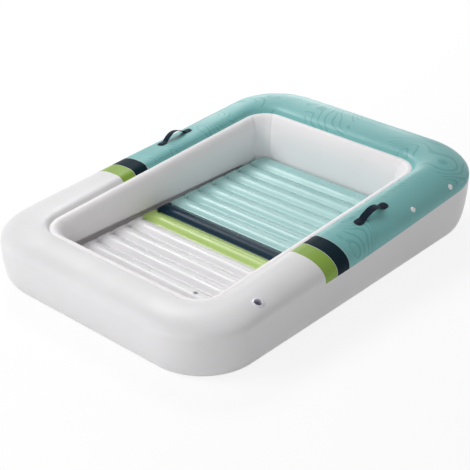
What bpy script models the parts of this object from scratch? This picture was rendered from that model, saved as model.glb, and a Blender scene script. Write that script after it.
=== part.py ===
"""Inflatable pool lounger: a hollow vinyl ring with a raised head end round a ribbed air mattress.

Metres, +Z up. The origin is on the ground under the middle of the outline, +Y points to the head
end, and left and right are those of someone who lies on it face up. The ring is three welded
panels: the printed upper panel, the lower panel and the inner wall. The mattress is two sheets
held apart by webs. Its margins are welded between the margins of the inner wall and lower panel.
"""

import math

import bmesh
import bpy
import numpy as np
from mathutils import Matrix, Vector

# Overall size
LENGTH = 2.160
WIDTH = 1.520
VINYL = 0.0005
CLEARANCE = 0.0003
OVERRUN = 0.006

# Ring: insets are measured inwards from the outermost outline
OUTER_CORNER = 0.316
OUTER_SEAM_HEIGHT = 0.220
OUTER_SEAM_RISE = 0.041
GROUND_INSET = 0.066
CREST_INSET_SIDE = 0.154
CREST_INSET_FOOT = 0.166
CREST_INSET_HEAD = 0.148
CREST_HEIGHT = 0.328
CREST_RISE = 0.135
INNER_SEAM_INSET_SIDE = 0.225
INNER_SEAM_INSET_FOOT = 0.215
INNER_SEAM_INSET_HEAD = 0.321
INNER_SEAM_CORNER = 0.130
INNER_SEAM_HEIGHT = 0.309
INNER_SEAM_RISE = 0.120
BULGE_REACH = 0.065
BULGE_CORNER = 0.085
BULGE_HEIGHT = 0.190
BULGE_RISE = 0.060
UNDERCUT = 0.015
JOINT_CORNER = 0.070
TUCK_WIDTH = 0.070
SEAM_LAP = 0.010
INNER_LAP_SLOPE_DEG = 40
SHOULDER_TURN_DEG = 60
UPPER_FULLNESS = 2.1
LOWER_FULLNESS = 2.7

# Bands printed across the upper panel, as distances from the head end
LIME_START_FROM_HEAD = 1.382
BAND_SPLIT_FROM_HEAD = 1.296
NAVY_END_FROM_HEAD = 1.208

# Mattress
MATTRESS_TOP = 0.118
MATTRESS_UNDERSIDE = 0.006
RIB_PITCH = 0.104
HEAD_RIB_WIDTH = 0.145
RIB_DEPTH = 0.020
RIB_DEPTH_BELOW = 0.016
WELD_WIDTH = 0.008
MARGIN_WIDTH = 0.015
MARGIN_SETBACK = 0.002
EDGE_ROUND = 0.030
WEB_END_GAP = 0.020
AQUA_RIBS = 7
NAVY_RIBS = 1
LIME_RIBS = 1

# Main valve
MAIN_VALVE_FROM_FOOT = 0.388
MAIN_VALVE_TURN_DEG = 54
MAIN_FLANGE_RADIUS = 0.028
MAIN_FLANGE_HEIGHT = 0.0022
MAIN_BARREL_RADIUS = 0.0205
MAIN_BARREL_WALL = 0.0018
MAIN_BARREL_DEPTH = 0.020
MAIN_SEAT_THICKNESS = 0.0025
MAIN_PORT_RADIUS = 0.0065
MAIN_PLUG_HEAD_RADIUS = 0.0105
MAIN_PLUG_HEAD_HEIGHT = 0.0025
MAIN_PLUG_KNOB_RADIUS = 0.0040
MAIN_PLUG_KNOB_HEIGHT = 0.0035
FLAP_RADIUS = 0.0165
FLAP_THICKNESS = 0.0010

# Small valves
SIDE_VALVE_FROM_HEAD = 0.682
SIDE_VALVE_TURN_DEG = 34
HEAD_VALVE_FROM_HEAD = 0.374
HEAD_VALVE_TURN_DEG = 30
MATTRESS_VALVE_ACROSS = 0.271
SMALL_FLANGE_RADIUS = 0.0125
SMALL_FLANGE_HEIGHT = 0.0014
SMALL_BARREL_RADIUS = 0.0055
SMALL_BORE_RADIUS = 0.0035
SMALL_BARREL_DEPTH = 0.016
SMALL_PLUG_HEAD_RADIUS = 0.0080
SMALL_PLUG_HEAD_HEIGHT = 0.0018
SMALL_PLUG_STEM_LENGTH = 0.011
SMALL_PLUG_TAB_REACH = 0.0045
SMALL_PLUG_TAB_WIDTH = 0.0060
SMALL_PLUG_TAB_CORNER = 0.0020
SMALL_PLUG_TAB_THICKNESS = 0.0012

# Handles
HANDLE_FROM_HEAD = 0.900
HANDLE_TURN_DEG = 76
HANDLE_LENGTH = 0.240
STRAP_WIDTH = 0.038
STRAP_THICKNESS = 0.0024
STRAP_RISE = 0.030
STRAP_CORNER = 0.010
PATCH_LENGTH = 0.052
PATCH_WIDTH = 0.046
PATCH_CORNER = 0.012
PATCH_HEIGHT = 0.0016
PATCH_DROP = 0.010

# Facets
CORNER_STEPS = 6
END_STEPS = 3
HEAD_SIDE_STEPS = 3
UPPER_STEPS = 7
SHOULDER_STEPS = 3
INNER_WALL_STEPS = 4
UNDERCUT_STEPS = 2
LOWER_STEPS = 4
TUCK_STEPS = 3
MAIN_TURN_STEPS = 24
SMALL_TURN_STEPS = 16
STRAP_STEPS = 16
ROUND_STEPS = 5
PROBE_DEG = 1
TURN_MERGE = 0.00005
CAP_MERGE = 0.00001

# Shares of a rib's width, and of its rounded edge, where a sheet has a line of points
CROWN_SHARE = 0.5
TOP_RIB_SHARES = (0.2, CROWN_SHARE, 0.8)
TOP_EDGE_SHARES = (0.3, 1.0)
UNDER_RIB_SHARES = (CROWN_SHARE,)
UNDER_EDGE_SHARES = (1.0,)

# Looks: linear colour and roughness
LOOKS = {
    "white": ("white_vinyl", (0.76, 0.76, 0.77), 0.32),
    "lime": ("lime_vinyl", (0.38, 0.58, 0.07), 0.32),
    "navy": ("navy_vinyl", (0.008, 0.028, 0.055), 0.32),
    "aqua": ("aqua_vinyl", (0.36, 0.66, 0.62), 0.32),
    "web": ("web_vinyl", (0.70, 0.72, 0.72), 0.40),
    "clear": ("clear_vinyl", (0.62, 0.62, 0.68), 0.20),
    "plug": ("grey_plug", (0.09, 0.09, 0.13), 0.35),
    "white_plug": ("white_plug", (0.72, 0.73, 0.75), 0.35),
    "webbing": ("navy_webbing", (0.010, 0.022, 0.040), 0.75),
}
PRINT_COLOURS = ("white", "lime", "navy", "aqua")

# Sizes that follow from those above
LAYER = VINYL + CLEARANCE
HALF_WIDTH = WIDTH / 2
HALF_LENGTH = LENGTH / 2
MARGIN_HEIGHT = (MATTRESS_TOP + MATTRESS_UNDERSIDE) / 2
WELD_TOP = MATTRESS_TOP - RIB_DEPTH
WELD_UNDERSIDE = MATTRESS_UNDERSIDE + RIB_DEPTH_BELOW
JOINT_INSET_SIDE = INNER_SEAM_INSET_SIDE + BULGE_REACH - UNDERCUT
JOINT_INSET_FOOT = INNER_SEAM_INSET_FOOT + BULGE_REACH - UNDERCUT
JOINT_INSET_HEAD = INNER_SEAM_INSET_HEAD + BULGE_REACH - UNDERCUT
FIRST_WELD = HALF_LENGTH - JOINT_INSET_HEAD - HEAD_RIB_WIDTH
FOOT_RIBS_RUN = FIRST_WELD - RIB_PITCH - (JOINT_INSET_FOOT - HALF_LENGTH)
WEB_COUNT = 1 + int(FOOT_RIBS_RUN / RIB_PITCH)
LAST_WELD = FIRST_WELD - (WEB_COUNT - 1) * RIB_PITCH
LIME_START = HALF_LENGTH - LIME_START_FROM_HEAD
BAND_SPLIT = HALF_LENGTH - BAND_SPLIT_FROM_HEAD
NAVY_END = HALF_LENGTH - NAVY_END_FROM_HEAD
MAIN_VALVE_PLACE = MAIN_VALVE_FROM_FOOT - HALF_LENGTH
SIDE_VALVE_PLACE = HALF_LENGTH - SIDE_VALVE_FROM_HEAD
HEAD_VALVE_PLACE = HALF_LENGTH - HEAD_VALVE_FROM_HEAD
HANDLE_PLACE = HALF_LENGTH - HANDLE_FROM_HEAD

PARTS = "inflatable_pool_lounger"
CUTTERS = "cutters_and_forms"


# Scene and materials

def clear_scene():
    """Remove every object and make the two collections."""
    for old in list(bpy.data.objects):
        bpy.data.objects.remove(old, do_unlink=True)
    for name in (PARTS, CUTTERS):
        bpy.context.scene.collection.children.link(bpy.data.collections.new(name))


def material(name, colour, roughness):
    """A plain Principled material with the colour in linear values."""
    made = bpy.data.materials.new(name)
    made.use_nodes = True
    shader = made.node_tree.nodes["Principled BSDF"]
    shader.inputs["Base Color"].default_value = (*colour, 1.0)
    shader.inputs["Roughness"].default_value = roughness
    shader.inputs["Metallic"].default_value = 0.0
    return made


def add_object(name, data, materials=(), cutter=False):
    """Link a mesh, curve or empty under its name, as a part or as a hidden cutter."""
    made = bpy.data.objects.new(name, data)
    bpy.data.collections[CUTTERS if cutter else PARTS].objects.link(made)
    for each in materials:
        made.data.materials.append(each)
    if cutter:
        made.hide_render = True
        made.display_type = "WIRE"
    return made


def place(made, parent=None, matrix=None):
    """Put an object in its parent's frame, or in the world, by its location and rotation."""
    made.parent = parent
    made.matrix_local = matrix if matrix is not None else Matrix.Identity(4)
    return made


def boolean(target, tool, operation):
    """Cut or join a part with a hidden tool object."""
    step = target.modifiers.new(f"{operation.lower()}_{tool.name}", "BOOLEAN")
    step.operation = operation
    step.solver = "EXACT"
    step.object = tool


# Shapes

def grid_mesh(name, rows, closed):
    """Quads between rows of points; each row runs round the outline when closed is set."""
    rows = np.asarray(rows)
    row_count, column_count = rows.shape[:2]
    index = np.arange(row_count * column_count).reshape(row_count, column_count)
    if closed:
        index = np.concatenate([index, index[:, :1]], axis=1)
    corners = (index[:-1, :-1], index[1:, :-1], index[1:, 1:], index[:-1, 1:])
    faces = np.stack([corner.ravel() for corner in corners], axis=1)
    mesh = bpy.data.meshes.new(name)
    mesh.from_pydata(rows.reshape(-1, 3).tolist(), [], faces.tolist())
    return mesh


def sheet(name, rows, closed, materials):
    """A vinyl sheet: an open surface with its thickness on the inner side."""
    made = add_object(name, grid_mesh(name, rows, closed), materials)
    split = made.modifiers.new("facets", "TRIANGULATE")
    split.quad_method = "FIXED"
    wall = made.modifiers.new("vinyl", "SOLIDIFY")
    wall.thickness = VINYL
    wall.offset = -1
    wall.use_even_offset = True
    return made


def turned(name, profile, steps, materials=(), cutter=False, ring=False):
    """A turned piece from (radius, height) points that run down its outer side."""
    mesh = bpy.data.meshes.new(name)
    edges = [(i, i + 1) for i in range(len(profile) - 1)]
    if ring:
        edges.append((len(profile) - 1, 0))
    mesh.from_pydata([(radius, 0, height) for radius, height in profile], edges, [])
    made = add_object(name, mesh, materials, cutter)
    spin = made.modifiers.new("turn", "SCREW")
    spin.steps = steps
    spin.render_steps = steps
    spin.use_merge_vertices = True
    spin.merge_threshold = TURN_MERGE
    spin.use_smooth_shade = True
    return made


def plate(name, outline, half_depth, materials=(), cutter=False):
    """A flat outline in the local XY plane, filled and extruded both ways along local Z."""
    curve = bpy.data.curves.new(name, "CURVE")
    curve.dimensions = "2D"
    curve.fill_mode = "BOTH"
    curve.extrude = half_depth
    line = curve.splines.new("POLY")
    line.points.add(len(outline) - 1)
    for point, (x, y) in zip(line.points, outline):
        point.co = (x, y, 0, 1)
    line.use_cyclic_u = True
    return add_object(name, curve, materials, cutter)


def as_mesh(made):
    """Swap a curve object for a mesh object of the same name and place, with its caps welded."""
    bpy.context.view_layer.update()
    name, matrix = made.name, made.matrix_world.copy()
    cutter = made.hide_render
    evaluated = made.evaluated_get(bpy.context.evaluated_depsgraph_get())
    mesh = bpy.data.meshes.new_from_object(evaluated)
    welded = bmesh.new()
    welded.from_mesh(mesh)
    bmesh.ops.remove_doubles(welded, verts=welded.verts, dist=CAP_MERGE)
    bmesh.ops.recalc_face_normals(welded, faces=welded.faces)
    welded.to_mesh(mesh)
    welded.free()
    bpy.data.objects.remove(made, do_unlink=True)
    swapped = add_object(name, mesh, (), cutter)
    swapped.matrix_world = matrix
    return swapped


def rounded_outline(length, width, corner):
    """Points of a rectangle with round corners, centred on the origin, anticlockwise."""
    points = []
    for quarter, (side_x, side_y) in enumerate(((1, 1), (-1, 1), (-1, -1), (1, -1))):
        centre_x = side_x * (length / 2 - corner)
        centre_y = side_y * (width / 2 - corner)
        for step in range(ROUND_STEPS + 1):
            angle = math.pi / 2 * (quarter + step / ROUND_STEPS)
            points.append((centre_x + corner * math.cos(angle), centre_y + corner * math.sin(angle)))
    return points


# Ring form

def side_places(foot_end, head_end):
    """Places of the stations along a straight side, with one on each edge of the bands."""
    head_run = head_end - NAVY_END
    head_steps = [NAVY_END + head_run * step / HEAD_SIDE_STEPS for step in range(1, HEAD_SIDE_STEPS)]
    foot_middle = (foot_end + LIME_START) / 2
    return [foot_end, foot_middle, LIME_START, BAND_SPLIT, NAVY_END, *head_steps, head_end]


def rail(side, foot, head, corner, height, rise=0.0):
    """Stations round the outline, inset by side, foot and head, with the height rising to +Y."""
    half, head_end, foot_end = HALF_WIDTH - side, HALF_LENGTH - head, foot - HALF_LENGTH
    centre = half - corner
    places = side_places(foot_end + corner, head_end - corner)
    turn = [math.pi / 2 * step / CORNER_STEPS for step in range(1, CORNER_STEPS)]
    spread = [centre * (1 - 2 * step / END_STEPS) for step in range(END_STEPS + 1)]
    points = [(half, y) for y in places]
    points += [(centre + corner * math.cos(a), head_end - corner + corner * math.sin(a)) for a in turn]
    points += [(x, head_end) for x in spread]
    points += [(-centre - corner * math.sin(a), head_end - corner + corner * math.cos(a)) for a in turn]
    points += [(-half, y) for y in reversed(places)]
    points += [(-centre - corner * math.cos(a), foot_end + corner - corner * math.sin(a)) for a in turn]
    points += [(-x, foot_end) for x in spread]
    points += [(centre + corner * math.sin(a), foot_end + corner - corner * math.cos(a)) for a in turn]
    points = np.array(points)
    return np.column_stack([points, height + rise * points[:, 1] / LENGTH])


def between(start, end, along, up):
    """A row between two rails, by one share in plan and another in height."""
    return start + (end - start) * np.array([along, along, up])


def crest_share(turn):
    """Shares of the way from the outer seam to the crest, in plan and in height, at a turn."""
    return 1 - math.cos(turn) ** (2 / UPPER_FULLNESS), math.sin(turn) ** (2 / UPPER_FULLNESS)


def quarter(steps):
    """Angles that split a right angle into equal steps, ends included."""
    return [math.pi / 2 * step / steps for step in range(steps + 1)]


def ring_rails():
    """The rails that the ring's section passes through, by name."""
    slope = math.radians(INNER_LAP_SLOPE_DEG)
    lap_in, lap_up = SEAM_LAP * math.cos(slope), SEAM_LAP * math.sin(slope)
    inner = (INNER_SEAM_INSET_SIDE, INNER_SEAM_INSET_FOOT, INNER_SEAM_INSET_HEAD)
    joint = (JOINT_INSET_SIDE, JOINT_INSET_FOOT, JOINT_INSET_HEAD)
    tip = [inset + MARGIN_WIDTH for inset in joint]
    tuck = [inset - TUCK_WIDTH for inset in joint]
    crest = (CREST_INSET_SIDE, CREST_INSET_FOOT, CREST_INSET_HEAD)
    crest_corner = (OUTER_CORNER + INNER_SEAM_CORNER) / 2
    stack_half = 2 * LAYER - CLEARANCE / 2
    upper_margin = MARGIN_HEIGHT + stack_half + LAYER
    lower_margin = MARGIN_HEIGHT - stack_half - LAYER
    bulge = [inset + BULGE_REACH for inset in inner]
    outermost, ground = (0, 0, 0), (GROUND_INSET, GROUND_INSET, GROUND_INSET)
    return {
        "margin_tip": rail(*tip, JOINT_CORNER - MARGIN_WIDTH, upper_margin),
        "joint": rail(*joint, JOINT_CORNER, upper_margin),
        "bulge": rail(*bulge, BULGE_CORNER, BULGE_HEIGHT, BULGE_RISE),
        "inner_seam": rail(*inner, INNER_SEAM_CORNER, INNER_SEAM_HEIGHT, INNER_SEAM_RISE),
        "inner_lap": rail(*[inset - lap_in for inset in inner], INNER_SEAM_CORNER + lap_in,
                          INNER_SEAM_HEIGHT + lap_up, INNER_SEAM_RISE),
        "crest": rail(*crest, crest_corner, CREST_HEIGHT, CREST_RISE),
        "outer_lap": rail(*outermost, OUTER_CORNER, OUTER_SEAM_HEIGHT + SEAM_LAP, OUTER_SEAM_RISE),
        "outer_seam": rail(*outermost, OUTER_CORNER, OUTER_SEAM_HEIGHT, OUTER_SEAM_RISE),
        "ground": rail(*ground, OUTER_CORNER - GROUND_INSET, -LAYER),
        "tuck": rail(*tuck, JOINT_CORNER + TUCK_WIDTH, -LAYER),
        "lower_joint": rail(*joint, JOINT_CORNER, lower_margin),
        "lower_margin_tip": rail(*tip, JOINT_CORNER - MARGIN_WIDTH, lower_margin),
    }


def ring_rows(rails):
    """Rows of the outermost surface, margin over the top to margin: inner wall, upper, lower."""
    inner_wall = [between(rails["joint"], rails["bulge"], math.sin(a), step / UNDERCUT_STEPS)
                  for step, a in enumerate(quarter(UNDERCUT_STEPS))]
    inner_wall += [between(rails["bulge"], rails["inner_seam"], 1 - math.cos(a), math.sin(a))
                   for a in quarter(INNER_WALL_STEPS)[1:]]
    full = math.radians(SHOULDER_TURN_DEG)
    shoulder = []
    for step in range(SHOULDER_STEPS, -1, -1):
        turn = full * step / SHOULDER_STEPS
        in_share = math.sin(turn) / math.sin(full)
        down_share = (1 - math.cos(turn)) / (1 - math.cos(full))
        shoulder.append(between(rails["crest"], rails["inner_lap"], in_share, down_share))
    outside = [between(rails["outer_lap"], rails["crest"], *crest_share(turn))
               for turn in reversed(quarter(UPPER_STEPS)[:-1])]
    power = 2 / LOWER_FULLNESS
    below = []
    for turn in reversed(quarter(LOWER_STEPS)):
        out_share, up_share = math.sin(turn) ** power, 1 - math.cos(turn) ** power
        below.append(between(rails["ground"], rails["outer_seam"], out_share, up_share))
    below += [between(rails["tuck"], rails["lower_joint"], math.sin(a), 1 - math.cos(a))
              for a in quarter(TUCK_STEPS)]
    below.append(rails["lower_margin_tip"])
    return [rails["margin_tip"], *inner_wall], shoulder + outside, below


def inward(rows, depth):
    """Rows moved inwards by a depth, mitred where the section folds."""
    rows = np.asarray(rows)
    along = np.roll(rows, -1, axis=1) - np.roll(rows, 1, axis=1)
    step = np.diff(rows, axis=0)
    before = np.cross(step, along[:-1])
    after = np.cross(step, along[1:])
    before /= np.linalg.norm(before, axis=2, keepdims=True)
    after /= np.linalg.norm(after, axis=2, keepdims=True)
    first = np.concatenate([before[:1], after])
    second = np.concatenate([before, after[-1:]])
    mitre = (first + second) / (1 + (first * second).sum(axis=2, keepdims=True))
    return rows - mitre * depth


def tube_point(place_y, turn_deg):
    """A point of the faceted skin on the left side between the outer seam and the crest."""
    rise = place_y / LENGTH
    low = OUTER_SEAM_HEIGHT + SEAM_LAP + OUTER_SEAM_RISE * rise
    high = CREST_HEIGHT + CREST_RISE * rise
    facet = math.radians(turn_deg) / (math.pi / 2) * UPPER_STEPS
    start = int(facet)
    ends = [crest_share(math.pi / 2 * (start + step) / UPPER_STEPS) for step in (0, 1)]
    along, up = (ends[0][axis] + (ends[1][axis] - ends[0][axis]) * (facet - start) for axis in (0, 1))
    return Vector((HALF_WIDTH - CREST_INSET_SIDE * along, place_y, low + (high - low) * up))


def skin_frame(place_y, turn_deg, side=1):
    """A frame on the skin: Z out of the tube, X towards the head end. Side is 1 left, -1 right."""
    point = tube_point(place_y, turn_deg)
    up_the_tube = tube_point(place_y, turn_deg + PROBE_DEG) - point
    to_head = (tube_point(place_y + SEAM_LAP, turn_deg) - point).normalized()
    out = to_head.cross(up_the_tube).normalized()
    mirror = Vector((side, 1, 1))
    point, to_head, out = point * mirror, to_head * mirror, out * mirror
    across = out.cross(to_head)
    return Matrix.Translation(point) @ Matrix((to_head, across, out)).transposed().to_4x4()


def build_ring(looks):
    """The three panels of the ring, the walls between its chambers and the form that seats use."""
    wall_rows, upper_rows, lower_rows = ring_rows(ring_rails())
    whole = wall_rows + upper_rows + lower_rows
    buried = inward(whole, LAYER)
    lap_row = len(wall_rows)
    seam_row = lap_row + len(upper_rows)
    printed = [looks[name] for name in PRINT_COLOURS]
    upper = sheet("upper_panel", whole[lap_row - 1:seam_row + 1], True, printed)
    paint_bands(upper)
    sheet("inner_wall_panel", buried[:lap_row + 1], True, [looks["white"]])
    sheet("lower_panel", buried[seam_row - 1:], True, [looks["white"]])
    form = add_object("ring_form", grid_mesh("ring_form", inward(whole, -CLEARANCE), True), (), True)
    close_form(form)
    build_chamber_walls(inward(whole, 2 * LAYER)[1:-1], looks)
    return upper, form


def build_chamber_walls(lining, looks):
    """The two walls that part the head chamber from the foot chamber, at the end of the navy band."""
    stations = np.flatnonzero(np.isclose(lining[0, :, 1], NAVY_END, atol=CLEARANCE))
    upright = Matrix.Translation((0, NAVY_END, 0)) @ Matrix.Rotation(math.pi / 2, 4, "X")
    for name, station in zip(("left_chamber_wall", "right_chamber_wall"), stations):
        outline = [(point[0], point[2]) for point in lining[:, station]]
        place(plate(name, outline, VINYL / 2, [looks["web"]]), None, upright)


def close_form(form):
    """Close the open band between the form's first and last row, so that it is a solid."""
    shape = bmesh.new()
    shape.from_mesh(form.data)
    bmesh.ops.bridge_loops(shape, edges=[edge for edge in shape.edges if edge.is_boundary])
    bmesh.ops.recalc_face_normals(shape, faces=shape.faces)
    bmesh.ops.triangulate(shape, faces=shape.faces, quad_method="FIXED")
    shape.to_mesh(form.data)
    shape.free()


def paint_bands(upper):
    """Give each face of the upper panel the colour printed at its place along the length."""
    for face in upper.data.polygons:
        along = face.center.y
        face.material_index = (along > LIME_START) + (along > BAND_SPLIT) + (along > NAVY_END)


# Mattress

def mattress_lines(rib_shares, edge_shares):
    """Lines across the mattress, foot to head, as (place, share of a rib's height) pairs."""
    foot_end = JOINT_INSET_FOOT + MARGIN_SETBACK - HALF_LENGTH
    head_end = HALF_LENGTH - JOINT_INSET_HEAD - MARGIN_SETBACK
    edges = edge_margins(edge_shares)
    open_rib = RIB_PITCH - WELD_WIDTH
    rising = [share for share in rib_shares if share <= CROWN_SHARE]
    lines = [(foot_end + margin, 1.0) for margin in edges]
    foot_weld, head_weld = LAST_WELD - WELD_WIDTH / 2, FIRST_WELD + WELD_WIDTH / 2
    lines += [(foot_weld - share * open_rib, rib_height(share)) for share in reversed(rising)]
    for number in range(WEB_COUNT):
        weld = foot_weld + number * RIB_PITCH
        lines += [(weld, 0.0), (weld + WELD_WIDTH, 0.0)]
        if number < WEB_COUNT - 1:
            lines += [(weld + WELD_WIDTH + share * open_rib, rib_height(share)) for share in rib_shares]
    lines += [(head_weld + share * open_rib, rib_height(share)) for share in rising]
    lines += [(head_end - margin, 1.0) for margin in reversed(edges)]
    return lines


def rib_height(share):
    """Height of a rib, as a share of its crown, at a share of its width."""
    return 1 - (2 * share - 1) ** 2


def edge_margins(edge_shares):
    """Distances in from the sheet's edge: the margin, then the rounded edge."""
    return [0.0, MARGIN_WIDTH, *[MARGIN_WIDTH + share * EDGE_ROUND for share in edge_shares]]


def mattress_rows(lines, edge_shares, margin_level, weld_level, crown_level):
    """Rows of points of one mattress sheet, left to right on each line from foot to head."""
    half = HALF_WIDTH - JOINT_INSET_SIDE - MARGIN_SETBACK
    corner = JOINT_CORNER - MARGIN_SETBACK
    edges = edge_margins(edge_shares)
    places_x = [half - inset for inset in edges] + [inset - half for inset in reversed(edges)]
    foot_end, head_end = lines[0][0], lines[-1][0]
    rows = []
    for y, crown in lines:
        row = []
        for x in places_x:
            inset = min(half - abs(x), head_end - y, y - foot_end)
            share = min(max((inset - MARGIN_WIDTH) / EDGE_ROUND, 0.0), 1.0)
            edge = math.sqrt(1 - (1 - share) ** 2)
            full = weld_level + (crown_level - weld_level) * crown
            across = abs(x) - (half - corner)
            beyond = max(y - (head_end - corner), foot_end + corner - y)
            pull = max(across, beyond) / math.hypot(across, beyond) if min(across, beyond) > 0 else 1.0
            plan_x = x - math.copysign(across * (1 - pull), x)
            plan_y = y - math.copysign(beyond * (1 - pull), y)
            row.append((plan_x, plan_y, margin_level + (full - margin_level) * edge))
        rows.append(row)
    return rows


def build_mattress(looks):
    """The ribbed top sheet, the bottom sheet and the webs between their welds."""
    lines = mattress_lines(TOP_RIB_SHARES, TOP_EDGE_SHARES)
    top_margin = MARGIN_HEIGHT + LAYER - CLEARANCE / 2
    rows = mattress_rows(lines, TOP_EDGE_SHARES, top_margin, WELD_TOP, MATTRESS_TOP)
    top = sheet("mattress_top_sheet", rows, False, [looks[name] for name in PRINT_COLOURS])
    paint_ribs(top)
    lines = mattress_lines(UNDER_RIB_SHARES, UNDER_EDGE_SHARES)
    under_margin = MARGIN_HEIGHT - LAYER + CLEARANCE / 2
    below = mattress_rows(lines, UNDER_EDGE_SHARES, under_margin, WELD_UNDERSIDE, MATTRESS_UNDERSIDE)
    sheet("mattress_bottom_sheet", below[::-1], False, [looks["white"]])
    for number in range(WEB_COUNT):
        build_web(number + 1, FIRST_WELD - number * RIB_PITCH, looks)
    return top, rows


def paint_ribs(top):
    """Colour the ribs of the top sheet from the head end: aqua, navy, lime, then white."""
    navy_edge = FIRST_WELD - (AQUA_RIBS - 1) * RIB_PITCH
    lime_edge = navy_edge - NAVY_RIBS * RIB_PITCH
    white_edge = lime_edge - LIME_RIBS * RIB_PITCH
    for face in top.data.polygons:
        along = face.center.y
        face.material_index = (along > white_edge) + (along > lime_edge) + (along > navy_edge)


def build_web(number, place_y, looks):
    """One web: an I-shaped strip with a narrow weld margin at its top and bottom."""
    top, bottom = WELD_TOP - LAYER, WELD_UNDERSIDE + LAYER
    reach, half = WELD_WIDTH / 2, VINYL / 2
    profile = [(-reach, bottom), (reach, bottom), (reach, bottom + VINYL), (half, bottom + VINYL),
               (half, top - VINYL), (reach, top - VINYL), (reach, top), (-reach, top),
               (-reach, top - VINYL), (-half, top - VINYL), (-half, bottom + VINYL), (-reach, bottom + VINYL)]
    half_run = HALF_WIDTH - JOINT_INSET_SIDE - MARGIN_WIDTH - EDGE_ROUND - WEB_END_GAP
    web = plate(f"mattress_web_{number:02d}", profile, half_run, [looks["web"]])
    turn = Matrix(((0, 0, 1), (1, 0, 0), (0, 1, 0))).to_4x4()
    place(web, None, Matrix.Translation((0, place_y, 0)) @ turn)


def mattress_form(rows):
    """A solid under the top sheet's outer surface, grown by the clearance, for the valve's seat."""
    lifted = np.array(rows)
    lifted[..., 2] += CLEARANCE
    form = add_object("mattress_form", grid_mesh("mattress_form", lifted, False), (), True)
    shape = bmesh.new()
    shape.from_mesh(form.data)
    bmesh.ops.triangulate(shape, faces=shape.faces, quad_method="FIXED")
    rim = [edge for edge in shape.edges if edge.is_boundary]
    skirt = bmesh.ops.extrude_edge_only(shape, edges=rim)["geom"]
    lowered = [item for item in skirt if isinstance(item, bmesh.types.BMVert)]
    for vert in lowered:
        vert.co.z = MATTRESS_UNDERSIDE
    bmesh.ops.holes_fill(shape, edges=[edge for edge in shape.edges if edge.is_boundary])
    bmesh.ops.recalc_face_normals(shape, faces=shape.faces)
    shape.to_mesh(form.data)
    shape.free()
    return form


# Valves

def build_main_valve(looks, form):
    """The large valve: a flanged cup with a seat, its plug and the flap under the seat."""
    hub = place(add_object("main_valve", None), None, skin_frame(MAIN_VALVE_PLACE, MAIN_VALVE_TURN_DEG))
    bore = MAIN_BARREL_RADIUS - MAIN_BARREL_WALL
    seat_top = MAIN_SEAT_THICKNESS - MAIN_BARREL_DEPTH
    chamfer = MAIN_FLANGE_HEIGHT / 2
    rim_top = MAIN_FLANGE_HEIGHT + chamfer
    inner_edge = MAIN_BARREL_RADIUS - MAIN_BARREL_WALL / 2
    flange = [(inner_edge, MAIN_FLANGE_HEIGHT), (MAIN_FLANGE_RADIUS - chamfer, MAIN_FLANGE_HEIGHT),
              (MAIN_FLANGE_RADIUS, chamfer), (MAIN_FLANGE_RADIUS, -OVERRUN), (inner_edge, -OVERRUN)]
    barrel = [(bore, rim_top), (MAIN_BARREL_RADIUS, rim_top), (MAIN_BARREL_RADIUS, -MAIN_BARREL_DEPTH),
              (MAIN_PORT_RADIUS, -MAIN_BARREL_DEPTH), (MAIN_PORT_RADIUS, seat_top), (bore, seat_top)]
    seated_body("main_valve", hub, form, flange, barrel, MAIN_TURN_STEPS, looks["clear"])
    head_base = seat_top + CLEARANCE
    head_top = head_base + MAIN_PLUG_HEAD_HEIGHT
    knob_top = head_top + MAIN_PLUG_KNOB_HEIGHT
    stem = MAIN_PORT_RADIUS - CLEARANCE
    plug = [(0, knob_top), (MAIN_PLUG_KNOB_RADIUS, knob_top), (MAIN_PLUG_KNOB_RADIUS, head_top),
            (MAIN_PLUG_HEAD_RADIUS, head_top), (MAIN_PLUG_HEAD_RADIUS, head_base), (stem, head_base),
            (stem, -MAIN_BARREL_DEPTH), (0, -MAIN_BARREL_DEPTH)]
    place(turned("main_valve_plug", plug, MAIN_TURN_STEPS, [looks["plug"]]), hub)
    half = FLAP_THICKNESS / 2
    hinge_place = Matrix.Translation((0, -FLAP_RADIUS, -MAIN_BARREL_DEPTH - CLEARANCE - half))
    hinge = place(add_object("main_valve_flap_hinge", None), hub, hinge_place)
    disc = [(0, half), (FLAP_RADIUS, half), (FLAP_RADIUS, -half), (0, -half)]
    flap = turned("main_valve_flap", disc, MAIN_TURN_STEPS, [looks["clear"]])
    place(flap, hinge, Matrix.Translation((0, FLAP_RADIUS, 0)))
    return punch("main_valve_hole", hub, MAIN_BARREL_RADIUS, MAIN_TURN_STEPS)


def seated_body(name, hub, form, flange, barrel, steps, look):
    """A valve body: the flange is cut to the skin's form and joined to the barrel."""
    body = place(turned(f"{name}_body", flange, steps, [look], ring=True), hub)
    core = place(turned(f"{name}_barrel", barrel, steps, (), True, ring=True), hub)
    boolean(body, form, "DIFFERENCE")
    boolean(body, core, "UNION")


def punch(name, hub, radius, steps):
    """The cutter of the hole through the sheet that a valve's barrel passes."""
    edge = radius + CLEARANCE
    profile = [(0, OVERRUN), (edge, OVERRUN), (edge, -OVERRUN), (0, -OVERRUN)]
    return place(turned(name, profile, steps, (), True), hub)


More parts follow.
